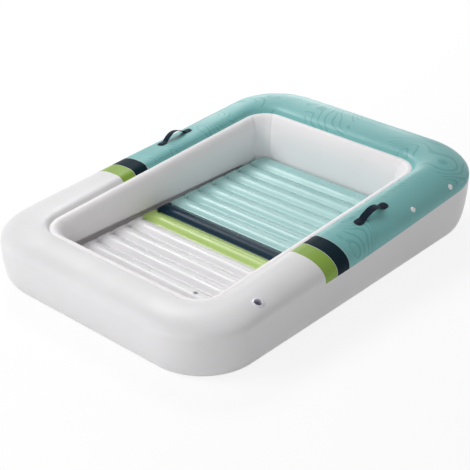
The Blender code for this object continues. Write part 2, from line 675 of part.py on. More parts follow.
def build_small_valve(name, matrix, looks, form, plug_look):
    """A plug valve: a flanged stem in the skin and the tabbed plug that closes it."""
    hub = place(add_object(name, None), None, matrix)
    chamfer = SMALL_FLANGE_HEIGHT / 2
    inner_edge = (SMALL_BARREL_RADIUS + SMALL_BORE_RADIUS) / 2
    flange = [(inner_edge, SMALL_FLANGE_HEIGHT), (SMALL_FLANGE_RADIUS - chamfer, SMALL_FLANGE_HEIGHT),
              (SMALL_FLANGE_RADIUS, chamfer), (SMALL_FLANGE_RADIUS, -OVERRUN), (inner_edge, -OVERRUN)]
    barrel = [(SMALL_BORE_RADIUS, SMALL_FLANGE_HEIGHT), (SMALL_BARREL_RADIUS, SMALL_FLANGE_HEIGHT),
              (SMALL_BARREL_RADIUS, -SMALL_BARREL_DEPTH), (SMALL_BORE_RADIUS, -SMALL_BARREL_DEPTH)]
    seated_body(name, hub, form, flange, barrel, SMALL_TURN_STEPS, looks["clear"])
    head_base = SMALL_FLANGE_HEIGHT + CLEARANCE
    head_top = head_base + SMALL_PLUG_HEAD_HEIGHT
    stem = SMALL_BORE_RADIUS - CLEARANCE
    stem_end = head_base - SMALL_PLUG_STEM_LENGTH
    outline = [(0, head_top), (SMALL_PLUG_HEAD_RADIUS, head_top), (SMALL_PLUG_HEAD_RADIUS, head_base),
               (stem, head_base), (stem, stem_end), (0, stem_end)]
    plug = place(turned(f"{name}_plug", outline, SMALL_TURN_STEPS, [plug_look]), hub)
    tab_length = SMALL_PLUG_HEAD_RADIUS + SMALL_PLUG_TAB_REACH
    tab_outline = rounded_outline(tab_length, SMALL_PLUG_TAB_WIDTH, SMALL_PLUG_TAB_CORNER)
    tab = plate(f"{name}_plug_tab", tab_outline, SMALL_PLUG_TAB_THICKNESS / 2, (), True)
    place(tab, hub, Matrix.Translation((tab_length / 2, 0, (head_base + head_top) / 2)))
    boolean(plug, as_mesh(tab), "UNION")
    return punch(f"{name}_hole", hub, SMALL_BARREL_RADIUS, SMALL_TURN_STEPS)


# Handles

def build_handle(name, side, looks, form):
    """A webbing strap that arches between two welded patches on the crest of the tube."""
    hub = place(add_object(name, None), None, skin_frame(HANDLE_PLACE, HANDLE_TURN_DEG, side))
    overhang = (PATCH_WIDTH - STRAP_WIDTH) / 2
    outline = rounded_outline(PATCH_LENGTH, PATCH_WIDTH, PATCH_CORNER)
    for end, towards in (("foot", -1), ("head", 1)):
        patch = plate(f"{name}_{end}_patch", outline, (PATCH_HEIGHT + PATCH_DROP) / 2)
        centre = (towards * (HANDLE_LENGTH - PATCH_LENGTH) / 2, 0, (PATCH_HEIGHT - PATCH_DROP) / 2)
        place(patch, hub, Matrix.Translation(centre))
        patch = as_mesh(patch)
        patch.data.materials.append(looks["webbing"])
        boolean(patch, form, "DIFFERENCE")
    half = HANDLE_LENGTH / 2
    top = PATCH_HEIGHT + CLEARANCE + STRAP_THICKNESS
    rows = strap_rows(half - overhang, half - PATCH_LENGTH, top)
    strap = sheet(f"{name}_strap", rows, False, [looks["webbing"]])
    strap.modifiers["vinyl"].thickness = STRAP_THICKNESS
    place(strap, hub)


def strap_rows(half, arch_half, level):
    """Rows across the strap: flat tails with round corners and a cosine arch between them."""
    corner_places = [half - STRAP_CORNER * (1 - math.cos(a)) for a in quarter(ROUND_STEPS)]
    arch_places = [arch_half * (1 - 2 * step / STRAP_STEPS) for step in range(STRAP_STEPS + 1)]
    places_x = corner_places + arch_places + [-x for x in reversed(corner_places)]
    rows = []
    for x in places_x:
        past = max(abs(x) - (half - STRAP_CORNER), 0.0)
        reach = STRAP_WIDTH / 2 - STRAP_CORNER + math.sqrt(STRAP_CORNER ** 2 - min(past, STRAP_CORNER) ** 2)
        lift = (1 + math.cos(math.pi * min(abs(x) / arch_half, 1.0))) / 2
        rows.append([(x, reach * share, level + STRAP_RISE * lift) for share in (1, 0, -1)])
    return rows


def main():
    """Build the lounger."""
    clear_scene()
    looks = {key: material(*look) for key, look in LOOKS.items()}
    upper, form = build_ring(looks)
    top, rows = build_mattress(looks)
    rib_form = mattress_form(rows)
    boolean(upper, build_main_valve(looks, form), "DIFFERENCE")
    for name, along, turn in (("side_valve", SIDE_VALVE_PLACE, SIDE_VALVE_TURN_DEG),
                              ("head_valve", HEAD_VALVE_PLACE, HEAD_VALVE_TURN_DEG)):
        hole = build_small_valve(name, skin_frame(along, turn), looks, form, looks["white_plug"])
        boolean(upper, hole, "DIFFERENCE")
    spot = Matrix.Translation((MATTRESS_VALVE_ACROSS, LAST_WELD + RIB_PITCH / 2, MATTRESS_TOP))
    boolean(top, build_small_valve("mattress_valve", spot, looks, rib_form, looks["plug"]), "DIFFERENCE")
    for name, side in (("left_handle", 1), ("right_handle", -1)):
        build_handle(name, side, looks, form)


main()
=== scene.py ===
"""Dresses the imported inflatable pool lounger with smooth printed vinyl, ribs, welds, valves and straps."""
import math

import bmesh
import bpy
import numpy as np
from bpy.props import FloatProperty, FloatVectorProperty, PointerProperty
from mathutils import Matrix, Vector


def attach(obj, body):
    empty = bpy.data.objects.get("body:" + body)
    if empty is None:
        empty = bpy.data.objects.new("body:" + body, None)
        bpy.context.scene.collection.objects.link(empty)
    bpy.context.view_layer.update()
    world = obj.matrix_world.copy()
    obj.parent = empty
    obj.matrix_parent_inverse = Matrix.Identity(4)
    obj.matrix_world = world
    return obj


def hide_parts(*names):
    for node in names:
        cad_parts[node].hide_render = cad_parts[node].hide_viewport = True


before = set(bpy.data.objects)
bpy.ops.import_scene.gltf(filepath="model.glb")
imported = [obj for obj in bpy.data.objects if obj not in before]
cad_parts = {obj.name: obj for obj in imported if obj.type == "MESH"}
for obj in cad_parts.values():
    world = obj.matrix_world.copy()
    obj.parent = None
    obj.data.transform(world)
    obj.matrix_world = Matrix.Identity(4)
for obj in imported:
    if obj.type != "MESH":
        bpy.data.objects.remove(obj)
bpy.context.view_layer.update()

bl_info = {
    "name": "Inflatable pool lounger",
    "version": (1, 0, 0),
    "blender": (4, 5, 0),
    "location": "3D View > Sidebar > Lounger",
    "description": "Smooth vinyl, ribs, welds, valves and strap handles for a pool lounger",
    "category": "Object",
}

BODY = "lounger"
QUARTER, TURN = math.pi / 2, math.pi * 2

# Outline and sheets
LENGTH, WIDTH = 2.160, 1.520
HALF_LENGTH, HALF_WIDTH = LENGTH / 2, WIDTH / 2
LAYER, CLEARANCE = 0.0008, 0.0003
STACK = 3 * LAYER - CLEARANCE / 2
SEAM_LAP, SEAM_STEP = 0.010, 0.00025

# Mattress
MATTRESS_TOP, MATTRESS_UNDERSIDE = 0.118, 0.006
MARGIN_HEIGHT = (MATTRESS_TOP + MATTRESS_UNDERSIDE) / 2
MARGIN_WIDTH, MARGIN_SETBACK = 0.038, 0.002
EDGE_ROUND = 0.034
RIB_PITCH, RIB_COUNT, FIRST_WELD = 0.104, 14, 0.564
LAST_WELD = FIRST_WELD - (RIB_COUNT - 2) * RIB_PITCH
NAVY_RIB_END = FIRST_WELD - 6 * RIB_PITCH
RIB_DEPTH, RIB_DEPTH_BELOW = 0.0175, 0.016
WELD_WIDTH = 0.008
WELD_END, WELD_END_FADE = MARGIN_WIDTH + EDGE_ROUND - 0.004, 0.006
PINCH_LEVEL, PINCH_WIDTH = 0.25, 0.014
NOTCH_SETBACK, NOTCH_LENGTH, NOTCH_WIDTH = 0.002, 0.007, 0.009
RIB_WAVES, RIB_PUCKER_FADE = (130.0, 205.0, 290.0), 0.012
TOP_STEPS, TOP_SEED = (0.0072, 0.0041), 11
BOTTOM_STEPS, BOTTOM_SEED = (0.012, 0.0075), 12


def wider(insets, by):
    """Insets by side, foot and head, each larger by the same amount."""
    return tuple(inset + by for inset in insets)


# Ring: the rails of its section, as insets from the outline by side, foot and head, corners and heights
AT_OUTLINE = (0.0, 0.0, 0.0)
OUTER_CORNER = 0.316
OUTER_SEAM_HEIGHT, OUTER_SEAM_RISE = 0.220, 0.041
SEAM_SWEEP, SEAM_SWEEP_START, SEAM_SWEEP_POWER = 0.050, -0.15, 1.3
GROUND_INSET = 0.066
CREST_INSETS = (0.154, 0.166, 0.148)
CREST_HEIGHT, CREST_RISE = 0.328, 0.135
INNER_SEAM_INSETS = (0.225, 0.215, 0.321)
INNER_SEAM_CORNER = 0.130
INNER_SEAM_HEIGHT, INNER_SEAM_RISE = 0.309, 0.120
INNER_LAP_SLOPE = math.radians(40)
BULGE_REACH, BULGE_CORNER = 0.065, 0.085
BULGE_INSETS = wider(INNER_SEAM_INSETS, BULGE_REACH)
BULGE_HEIGHT, BULGE_RISE = 0.190, 0.060
UNDERCUT = 0.038
JOINT_INSETS = wider(INNER_SEAM_INSETS, BULGE_REACH - UNDERCUT)
JOINT_CORNER = 0.093
SHELF_HEIGHT, SHELF_RISE, SHELF_DROP = 0.104, -0.040, 0.034
SHELF_SINK_START, SHELF_SINK_END, SHELF_FOOT_SINK, SHELF_LIP_SINK = 0.45, 0.68, 0.010, 0.030
TUCK_WIDTH = 0.070
SHOULDER_TURN = math.radians(60)
UPPER_FULLNESS, LOWER_FULLNESS, FULLNESS_LOST = 2.1, 2.7, 0.40

# Ring: rows of the grid on each stretch of the section
SHELF_ROWS, WALL_ROWS, SHOULDER_ROWS, UPPER_ROWS, LOWER_ROWS, TUCK_ROWS = 15, 29, 15, 41, 27, 13

# Ring: how far puckers reach from an edge, their level there, and where the skin comes free of a weld
WALL_PUCKER_FADE, INNER_PUCKER_FADE, OUTER_PUCKER_FADE = 0.030, 0.020, 0.026
WALL_FOOT_PUCKER, INNER_SEAM_PUCKER = 0.7, 0.8
WELD_FREE, WALL_WELD_FREE = (-0.003, 0.012), (-0.004, 0.012)
MARGIN_FREE = (MARGIN_WIDTH, MARGIN_WIDTH + 0.02)
PUCKER_WAVES, PUCKER_SEED = (61, 83, 107, 131), 3
SLACK_WAVES, SLACK_SEED = (5, 8, 13), 7
SEAM_DIP_WIDTH, SEAM_DIP_POWER = 0.018, 1.5

# Ring: creases in the inner wall's corners: level by segment number, and places and width as shares of
# the corner, then how deep the folds and the facet are, and where up the wall they rise and fade
CREASE_LEVELS = {1: 0.55, 3: 1.0, 5: 0.25, 7: 0.25}
CREASE_PLACES, CREASE_WIDTH = (0.20, 0.80), 0.035
FACET_START, FACET_END = (0.10, 0.26), (0.74, 0.90)
FOLD_LEVEL, FACET_LEVEL, CREASE_LEAST = 0.55, 0.45, 0.35
CREASE_RISE, CREASE_FADE = (0.015, 0.05), (0.0, 0.05)

# Printed bands, as places along the length
LIME_START, BAND_SPLIT, NAVY_END = -0.302, -0.216, -0.128

# Valves and handles: place along the length and turn round the tube in degrees, or x and y
MAIN_VALVE = (-0.692, 54)
SIDE_VALVE = (0.398, 34)
HEAD_VALVE = (0.706, 30)
MATTRESS_VALVE = (0.271, -0.632)
HANDLE = (0.180, 76)
HOLE_RADIUS, HOLE_SNAP, HOLE_EDGE, HOLE_REACH = 0.0235, 0.0026, 0.0001, 0.03

# Flat facets of the model's skin between the outer seam and the crest
UPPER_FACETS = 7

# Valves: profiles as radius and height over the skin
MAIN_BODY = ((0.0065, -0.0200), (0.0065, -0.0172), (0.0082, -0.0168), (0.0090, -0.0175), (0.0160, -0.0175),
             (0.0169, -0.0160), (0.0171, -0.0070), (0.0183, -0.0064), (0.0187, 0.0030), (0.0198, 0.0040),
             (0.0209, 0.0032), (0.0213, 0.0023), (0.0250, 0.0019), (0.0276, 0.0013), (0.0280, 0.0001),
             (0.0272, -0.0012), (0.0225, -0.0022), (0.0205, -0.0030), (0.0205, -0.0200))
MAIN_PLUG = ((0.0, -0.0112), (0.0040, -0.0112), (0.0037, -0.0147), (0.0105, -0.0147), (0.0105, -0.0172),
             (0.0062, -0.0172), (0.0062, -0.0200), (0.0, -0.0200))
SMALL_BODY = ((0.0035, -0.0160), (0.0035, 0.0010), (0.0045, 0.0017), (0.0070, 0.0017), (0.0105, 0.0013),
              (0.0134, 0.0009), (0.0143, 0.0000), (0.0137, -0.0012), (0.0062, -0.0020), (0.0055, -0.0040),
              (0.0055, -0.0160))
SMALL_PLUG = ((0.0, 0.0041), (0.0030, 0.0040), (0.0068, 0.0035), (0.0088, 0.0027), (0.0088, 0.0018),
              (0.0040, 0.0018), (0.0032, 0.0012), (0.0032, -0.0092), (0.0, -0.0093))
# Painted shade in the large valve's cup: the radius it fills, and the depths over which it darkens.
CUP_RADIUS, CUP_SHADE = 0.0200, (-0.001, 0.009)
MAIN_DRAPE, SMALL_DRAPE = (0.0212, 0.0262), (0.0080, 0.0115)
MAIN_FIT, SMALL_FIT, HANDLE_FIT = 0.040, 0.030, 0.125
TAB_LENGTH, TAB_WIDTH, TAB_CORNER, TAB_PLACE, TAB_CURL = 0.0086, 0.0060, 0.0025, 0.0093, 26.0
TAB_TOP, TAB_BOTTOM, TAB_EDGE = 0.0032, 0.0020, 0.0005

# Handles
HANDLE_LENGTH, STRAP_WIDTH, STRAP_THICKNESS, STRAP_RISE = 0.240, 0.038, 0.0024, 0.030
STRAP_CORNER, STRAP_TIP_ROUND, ARCH_OVER_PATCH, ARCH_FOOT = 0.0165, 0.0006, 0.007, 0.75
STRAP_SIDE_POWER, STRAP_FACE_POWER = 0.55, 0.45
PATCH_LENGTH, PATCH_WIDTH, PATCH_CORNER, PATCH_HEIGHT = 0.052, 0.046, 0.019, 0.0016
PATCH_BOTTOM, PATCH_EDGE = -0.0010, 0.0008

# Round patches of printed contour lines: centre and reach
CONTOUR_PATCHES = (((0.70, 0.02, 0.30), 0.15), ((0.70, 0.80, 0.36), 0.17), ((0.42, 0.93, 0.40), 0.15),
                   ((-0.12, 0.90, 0.40), 0.20), ((-0.66, 0.80, 0.38), 0.16), ((-0.64, 0.42, 0.36), 0.14),
                   ((0.54, 0.42, 0.38), 0.09), ((-0.60, 0.00, 0.33), 0.10))

# Finishes: levels of reflection, roughness, half the blur of a printed edge, pressed lines and colours
SPECULAR, DARK_INK_SPECULAR, DARK_RIB_SPECULAR = 0.36, 0.04, 0.08
SATIN, WALL_SATIN, RIB_SATIN, STRIP_SATIN, PATCH_SATIN = 0.36, 0.40, 0.25, 0.42, 0.34
INK_BLUR = 0.0003
WELD_PRESSED, WELD_RIDGE_PITCH, PATCH_GRID_PITCH = (0.0040, 0.0100), 0.0030, 0.003
STRIP_TINT, PURE_WHITE = (0.5, 0.55, 0.55, 1.0), (1.0, 1.0, 1.0, 1.0)

# Stage
CAMERA_PLACE, CAMERA_AIM = (3.6116, -4.0855, 3.0988), (-0.0348, -0.0214, 0.0520)
SENSOR_WIDTH, FAR = 36.0, 100.0
LIGHT_AIM, LIGHT_SIZE, GLINT_SIZE = (0.0, 0.0, 0.1), 3.0, 1.8
FLOOR_HALF, FLOOR_HEIGHT = 9.0, -0.0004


# Sizes and colours that a user would change

def length_property(name, description, default, least=0.0):
    """A length in metres."""
    return FloatProperty(name=name, description=description, default=default, min=least, unit="LENGTH")


def colour_property(name, description, default):
    """A linear RGB colour."""
    return FloatVectorProperty(name=name, description=description, default=default, subtype="COLOR",
                               size=3, min=0.0, max=1.0)


def power_property(name, description, default):
    """A light's power in watts."""
    return FloatProperty(name=name, description=description, default=default, min=0.0, unit="POWER")


class LoungerSizes(bpy.types.PropertyGroup):
    """Sizes of the soft details, in metres."""
    seam_pucker: length_property("Seam pucker", "Height of the puckers beside the ring's seams", 0.0007)
    seam_valley: length_property("Seam valley", "Depth of the valley along the inner seam", 0.007)
    slackness: length_property("Slackness", "Height of the long soft waves in the ring", 0.0010)
    corner_crease: length_property("Corner crease", "Depth of the folds in the inner wall's corners", 0.0075)
    rib_pucker: length_property("Rib pucker", "Height of the puckers beside the mattress welds", 0.00015)
    weld_notch: length_property("Weld notch", "Depth of the notch at each end of a mattress weld", 0.014)
    contour_pitch: length_property("Contour pitch", "Spacing of the printed contour lines", 0.012, 0.002)


class LoungerColours(bpy.types.PropertyGroup):
    """Linear colours of the vinyl, valves and webbing."""
    aqua: colour_property("Aqua", "Aqua print of the ring's head half", (0.185, 0.462, 0.458))
    rib_aqua: colour_property("Rib aqua", "Paler aqua of the mattress ribs", (0.385, 0.635, 0.622))
    contour: colour_property("Contour", "Thin printed contour lines", (0.090, 0.310, 0.320))
    navy: colour_property("Navy", "Navy band of the ring", (0.006, 0.019, 0.028))
    rib_navy: colour_property("Rib navy", "Paler navy of the mattress rib", (0.006, 0.026, 0.046))
    lime: colour_property("Lime", "Lime band of the ring", (0.230, 0.375, 0.045))
    rib_lime: colour_property("Rib lime", "Paler lime of the mattress rib", (0.410, 0.570, 0.160))
    white: colour_property("White", "White vinyl", (0.760, 0.750, 0.762))
    # Painted light: the inner wall's white is lighter than the white vinyl, standing in for light bounced
    # round the cockpit.
    lit_inner_white: colour_property("Inner white", "White vinyl of the inner wall", (0.895, 0.866, 0.880))
    line: colour_property("Line", "Thin bare lines between the bands", (0.700, 0.760, 0.740))
    clear: colour_property("Clear", "Pale clear vinyl of the valves", (0.780, 0.780, 0.850))
    # Painted shade: the inside of the large valve's cup is drawn darker than the clear vinyl, for the shade
    # down in the recess.
    cup: colour_property("Cup", "Inside of the large valve's cup", (0.420, 0.410, 0.500))
    plug: colour_property("Plug", "Dark grey plugs", (0.150, 0.150, 0.210))
    webbing: colour_property("Webbing", "Navy webbing", (0.006, 0.014, 0.026))


class LoungerStage(bpy.types.PropertyGroup):
    """Camera and light."""
    lens: FloatProperty(name="Lens", description="Focal length on a 36 mm wide sensor", default=95.12,
                        min=10.0, subtype="DISTANCE_CAMERA", unit="CAMERA")
    key_power: power_property("Key light", "Power of the large soft light", 235.0)
    fill_power: power_property("Fill lights", "Power that the four fills take their shares of", 60.0)
    glint_power: power_property("Glint light", "Power of the small light that draws the gloss", 100.0)
    ambient: FloatProperty(name="Ambient", description="Level of the even light from all round", default=0.22,
                           min=0.0, max=1.0)


# Meshes

def running_length(points):
    """Length along a line of points, from 0 at the first."""
    return np.concatenate([[0.0], np.cumsum(np.linalg.norm(np.diff(points, axis=0), axis=1))])


def grid_mesh(name, points, closed=False, keep=None, seam=None):
    """A mesh of quads on a grid of points, rows by columns, with a UV map in metres.

    u is the length along the middle row, v the length down the first column. A closed grid joins its
    last column to the first. keep is a mask of the quads that stay, and seam a value for each point:
    a seam distance, or a share of painted shade.
    """
    rows, columns = points.shape[:2]
    index = np.arange(rows * columns).reshape(rows, columns)
    ring = np.concatenate([points, points[:, :1]], axis=1) if closed else points
    if closed:
        index = np.concatenate([index, index[:, :1]], axis=1)
    u, v = running_length(ring[rows // 2]), running_length(ring[:, 0])
    uv = np.stack(np.broadcast_arrays(u[None, :], v[:, None]), axis=-1)
    corners = [(slice(None, -1), slice(None, -1)), (slice(1, None), slice(None, -1)),
               (slice(1, None), slice(1, None)), (slice(None, -1), slice(1, None))]
    quads = np.stack([index[c] for c in corners], axis=-1).reshape(-1, 4)
    places = np.stack([uv[c] for c in corners], axis=-2).reshape(-1, 4, 2)
    if keep is not None:
        quads, places = quads[keep.ravel()], places[keep.ravel()]
    used, quads = np.unique(quads, return_inverse=True)
    mesh = bpy.data.meshes.new(name)
    mesh.from_pydata(points.reshape(-1, 3)[used].tolist(), [], quads.reshape(-1, 4).tolist())
    layer = mesh.uv_layers.new(name="UVMap")
    layer.data.foreach_set("uv", places.reshape(-1).astype(np.float32))
    if seam is not None:
        values = mesh.attributes.new("seam", "FLOAT", "POINT")
        values.data.foreach_set("value", np.asarray(seam, dtype=np.float32).reshape(-1)[used])
    return mesh


def close_poles(mesh, turn_outward=False):
    """Merge points that meet at a pole or a seam and drop the faces that this flattens.

    The rest of a closed mesh can be turned outward as well.
    """
    touching = 0.000005
    shape = bmesh.new()
    shape.from_mesh(mesh)
    bmesh.ops.remove_doubles(shape, verts=shape.verts, dist=touching)
    bmesh.ops.dissolve_degenerate(shape, edges=shape.edges, dist=touching)
    if turn_outward:
        bmesh.ops.recalc_face_normals(shape, faces=shape.faces)
    shape.to_mesh(mesh)
    shape.free()
    return mesh


def add_piece(name, mesh, look, slot, body, *stands_for, sharp_deg=None):
    """Link a smooth shaded piece, give it its material and body, and hide what it stands for. The slot is not
    used.
    """
    mesh.shade_smooth()
    if sharp_deg is not None:
        mesh.set_sharp_from_angle(angle=math.radians(sharp_deg))
    mesh.materials.append(look)
    made = bpy.data.objects.new(name, mesh)
    bpy.context.scene.collection.objects.link(made)
    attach(made, body)
    if stands_for:
        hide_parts(*stands_for)


def add_moulded(name, points, hub, look, slot, body, *stands_for, sharp_deg=50, shade=None):
    """Add a small closed piece whose points lie in a hub's frame, with a share of painted shade, if given, in
    its seam attribute.
    """
    mesh = close_poles(grid_mesh(name, to_world(points, hub), True, None, shade))
    add_piece(name, mesh, look, slot, body, *stands_for, sharp_deg=sharp_deg)


def finish_node(made, look):
    """Give a node of the model one material in place of its plain ones."""
    made.data.materials.clear()
    made.data.materials.append(look)


def turned(profile, steps):
    """Points of a turned form: each profile point (r, z) becomes the ring (r cos t, r sin t, z)."""
    profile = np.asarray(profile, dtype=float)
    turn = np.linspace(0, TURN, steps, endpoint=False)
    ring = np.stack([np.cos(turn), np.sin(turn)], axis=-1)
    flat = profile[:, None, :1] * ring[None]
    return np.concatenate([flat, np.broadcast_to(profile[:, None, 1:], flat.shape[:2] + (1,))], axis=-1)


def rounded(profile, radius, steps=5):
    """A profile whose inner corners are replaced by quadratic arcs that start a radius away."""
    profile = np.asarray(profile, dtype=float)
    out = [profile[:1]]
    t = np.linspace(0, 1, steps)[:, None]
    for before, corner, after in zip(profile[:-2], profile[1:-1], profile[2:]):
        back, on = before - corner, after - corner
        reach = min(radius, np.linalg.norm(back) / 2, np.linalg.norm(on) / 2)
        start = corner + back / np.linalg.norm(back) * reach
        end = corner + on / np.linalg.norm(on) * reach
        out.append((1 - t) ** 2 * start + 2 * t * (1 - t) * corner + t ** 2 * end)
    out.append(profile[-1:])
    return np.concatenate(out)


def smooth_step(value, low, high):
    """0 below low, 1 above high, and 3s² - 2s³ between."""
    share = np.clip((value - low) / (high - low), 0.0, 1.0)
    return share * share * (3 - 2 * share)


# Ring surface

def even_shares(*runs):
    """Shares from 0 in even runs, each given by the share where it ends and its number of points."""
    starts = [0.0] + [end for end, _ in runs[:-1]]
    return np.concatenate([np.linspace(start, end, count, endpoint=False)
                           for start, (end, count) in zip(starts, runs)])


def stations():
    """Segment number and share along it of each station round the outline, closer by the large valve."""
    side, corner, end = even_shares((0.11, 40), (1.0, 130)), even_shares((1.0, 54)), even_shares((1.0, 76))
    shares = [side, corner, end, corner, side, corner, end, even_shares((0.78, 38), (1.0, 32))]
    number = np.concatenate([np.full(len(part), step) for step, part in enumerate(shares)])
    return number, np.concatenate(shares)


SEGMENT, SHARE = stations()
LEFT_SIDE, RIGHT_SIDE = 0, 4


def rail(insets, corner, height, rise=0.0):
    """Points at all stations of a rounded rectangle inset by side, foot and head.

    Straight runs are linear in the share, corners are arcs, and z = height + rise * y / LENGTH.
    """
    side, foot, head = insets
    half, head_end, foot_end = HALF_WIDTH - side, HALF_LENGTH - head, foot - HALF_LENGTH
    mid, high, low = half - corner, head_end - corner, foot_end + corner
    cosine, sine = corner * np.cos(SHARE * QUARTER), corner * np.sin(SHARE * QUARTER)
    run, sideways = (high - low) * SHARE, mid * (1 - 2 * SHARE)
    level = np.ones_like(SHARE)
    x = np.choose(SEGMENT, [half * level, mid + cosine, sideways, -mid - sine,
                            -half * level, -mid - cosine, -sideways, mid + sine])
    y = np.choose(SEGMENT, [low + run, high + sine, head_end * level, high + cosine,
                            high - run, low - sine, foot_end * level, low - cosine])
    return np.stack([x, y, height + rise * y / LENGTH], axis=-1)


def between(start, end, along, up):
    """Rows from one rail to another, by shares in plan and in height, for each row or each point."""
    shares = np.stack(np.broadcast_arrays(along, along, up), axis=-1)
    if shares.ndim == 2:
        shares = shares[:, None, :]
    return start[None] + (end - start)[None] * shares


def crest_rail():
    """The ring's highest line."""
    return rail(CREST_INSETS, (OUTER_CORNER + INNER_SEAM_CORNER) / 2, CREST_HEIGHT, CREST_RISE)


def outer_seam(lift):
    """The outer seam's rail at a height over the seam, and the share of its sweep at each station.

    The sweep grows as a power of the way from SEAM_SWEEP_START to the head end.
    """
    seam = rail(AT_OUTLINE, OUTER_CORNER, OUTER_SEAM_HEIGHT + lift, OUTER_SEAM_RISE)
    way = (seam[:, 1] - SEAM_SWEEP_START) / (HALF_LENGTH - SEAM_SWEEP_START)
    sweep = np.clip(way, 0, 1) ** SEAM_SWEEP_POWER
    seam[:, 2] += SEAM_SWEEP * sweep
    return seam, sweep


def superellipse(rows, fullness):
    """Shares sin^(2/n) and cos^(2/n) of a quarter turn from its end to 0, with a fullness n per station."""
    turn = np.linspace(QUARTER, 0, rows)[:, None]
    power = 2 / fullness
    return np.abs(np.sin(turn)) ** power, np.abs(np.cos(turn)) ** power


def wall_rows():
    """Rows of the inner wall, from its tip in the mattress's margin up to the inner seam.

    An undercut rises from the joint, a shelf juts out on a smooth step and sinks towards the head
    end, and above it the wall bulges as a quarter ellipse.
    """
    tip = rail(wider(JOINT_INSETS, MARGIN_WIDTH), JOINT_CORNER - MARGIN_WIDTH, MARGIN_HEIGHT + STACK)
    joint = rail(JOINT_INSETS, JOINT_CORNER, MARGIN_HEIGHT + STACK)
    bulge = rail(BULGE_INSETS, BULGE_CORNER, BULGE_HEIGHT, BULGE_RISE)
    seam = rail(INNER_SEAM_INSETS, INNER_SEAM_CORNER, INNER_SEAM_HEIGHT, INNER_SEAM_RISE)
    shelf_foot = rail(JOINT_INSETS, JOINT_CORNER, SHELF_HEIGHT - SHELF_DROP / 2, SHELF_RISE)
    shelf_lip = rail(BULGE_INSETS, BULGE_CORNER, SHELF_HEIGHT + SHELF_DROP / 2, SHELF_RISE)
    sunk = smooth_step(shelf_lip[:, 1], SHELF_SINK_START, SHELF_SINK_END)
    shelf_foot[:, 2] -= SHELF_FOOT_SINK * sunk
    shelf_lip[:, 2] -= SHELF_LIP_SINK * sunk
    up = np.linspace(0, 1, SHELF_ROWS)
    turn = np.linspace(0, QUARTER, WALL_ROWS)[1:]
    return np.concatenate([
        tip[None], between(joint, shelf_foot, 0.0, np.array([0.0, 0.5])),
        between(shelf_foot, shelf_lip, smooth_step(up, 0.0, 1.0), up),
        between(shelf_lip, bulge, 0.0, np.array([0.25, 0.5, 0.75, 1.0])),
        between(bulge, seam, 1 - np.cos(turn), np.sin(turn))])


def upper_rows(high_seam, fullness):
    """Rows of the upper panel between its laps: an arc over the shoulder, then a superellipse down."""
    lap_in, lap_up = SEAM_LAP * math.cos(INNER_LAP_SLOPE), SEAM_LAP * math.sin(INNER_LAP_SLOPE)
    lap = rail(wider(INNER_SEAM_INSETS, -lap_in), INNER_SEAM_CORNER + lap_in, INNER_SEAM_HEIGHT + lap_up,
               INNER_SEAM_RISE)
    turn = SHOULDER_TURN * np.linspace(1, 0, SHOULDER_ROWS)
    down = (1 - np.cos(turn)) / (1 - math.cos(SHOULDER_TURN))
    sines, cosines = superellipse(UPPER_ROWS, fullness)
    return np.concatenate([between(crest_rail(), lap, np.sin(turn) / math.sin(SHOULDER_TURN), down),
                           between(high_seam, crest_rail(), 1 - cosines[1:], sines[1:])])


def lower_rows(seam, fullness):
    """Rows of the lower panel: a superellipse to the ground, a quarter ellipse back up, and the tip."""
    ground = rail((GROUND_INSET,) * 3, OUTER_CORNER - GROUND_INSET, -LAYER)
    tuck = rail(wider(JOINT_INSETS, -TUCK_WIDTH), JOINT_CORNER + TUCK_WIDTH, -LAYER)
    joint = rail(JOINT_INSETS, JOINT_CORNER, MARGIN_HEIGHT - STACK)
    tip = rail(wider(JOINT_INSETS, MARGIN_WIDTH), JOINT_CORNER - MARGIN_WIDTH, MARGIN_HEIGHT - STACK)
    sines, cosines = superellipse(LOWER_ROWS, fullness)
    turn = np.linspace(0, QUARTER, TUCK_ROWS)
    return np.concatenate([between(ground, seam, sines, 1 - cosines),
                           between(tuck, joint, np.sin(turn), 1 - np.cos(turn)), tip[None]])


def ring_sections():
    """The ring's surface in three runs of rows: inner wall, upper panel and lower panel."""
    seam, sweep = outer_seam(0.0)
    high_seam, _ = outer_seam(SEAM_LAP)
    lost = FULLNESS_LOST * sweep
    return wall_rows(), upper_rows(high_seam, UPPER_FULLNESS - lost), lower_rows(seam, LOWER_FULLNESS - lost)


def outward(points):
    """Unit normals of a grid that is closed along its columns, from central differences."""
    down = np.gradient(points, axis=0)
    along = np.roll(points, -1, axis=1) - np.roll(points, 1, axis=1)
    normal = np.cross(down, along)
    return normal / np.maximum(np.linalg.norm(normal, axis=2, keepdims=True), 1e-12)


def row_lengths(points):
    """Length down each column from the first row, as one value per point."""
    steps = np.linalg.norm(np.diff(points, axis=0), axis=2)
    return np.concatenate([np.zeros((1, points.shape[1])), np.cumsum(steps, axis=0)])


def ripples(distance, total, counts, seed):
    """A sum of cosines, each with a whole number of waves in the total, scaled to about -1..1."""
    phases = np.random.default_rng(seed).uniform(0, TURN, len(counts))
    waves = [np.cos(TURN * count * distance / total + phase) for count, phase in zip(counts, phases)]
    return sum(waves) / len(counts) ** 0.5


def outline_distance():
    """Distance of each station round the crest, and the whole way round."""
    crest = crest_rail()
    steps = np.linalg.norm(np.roll(crest, -1, axis=0) - crest, axis=1)
    return np.concatenate([[0.0], np.cumsum(steps)[:-1]]), steps.sum()


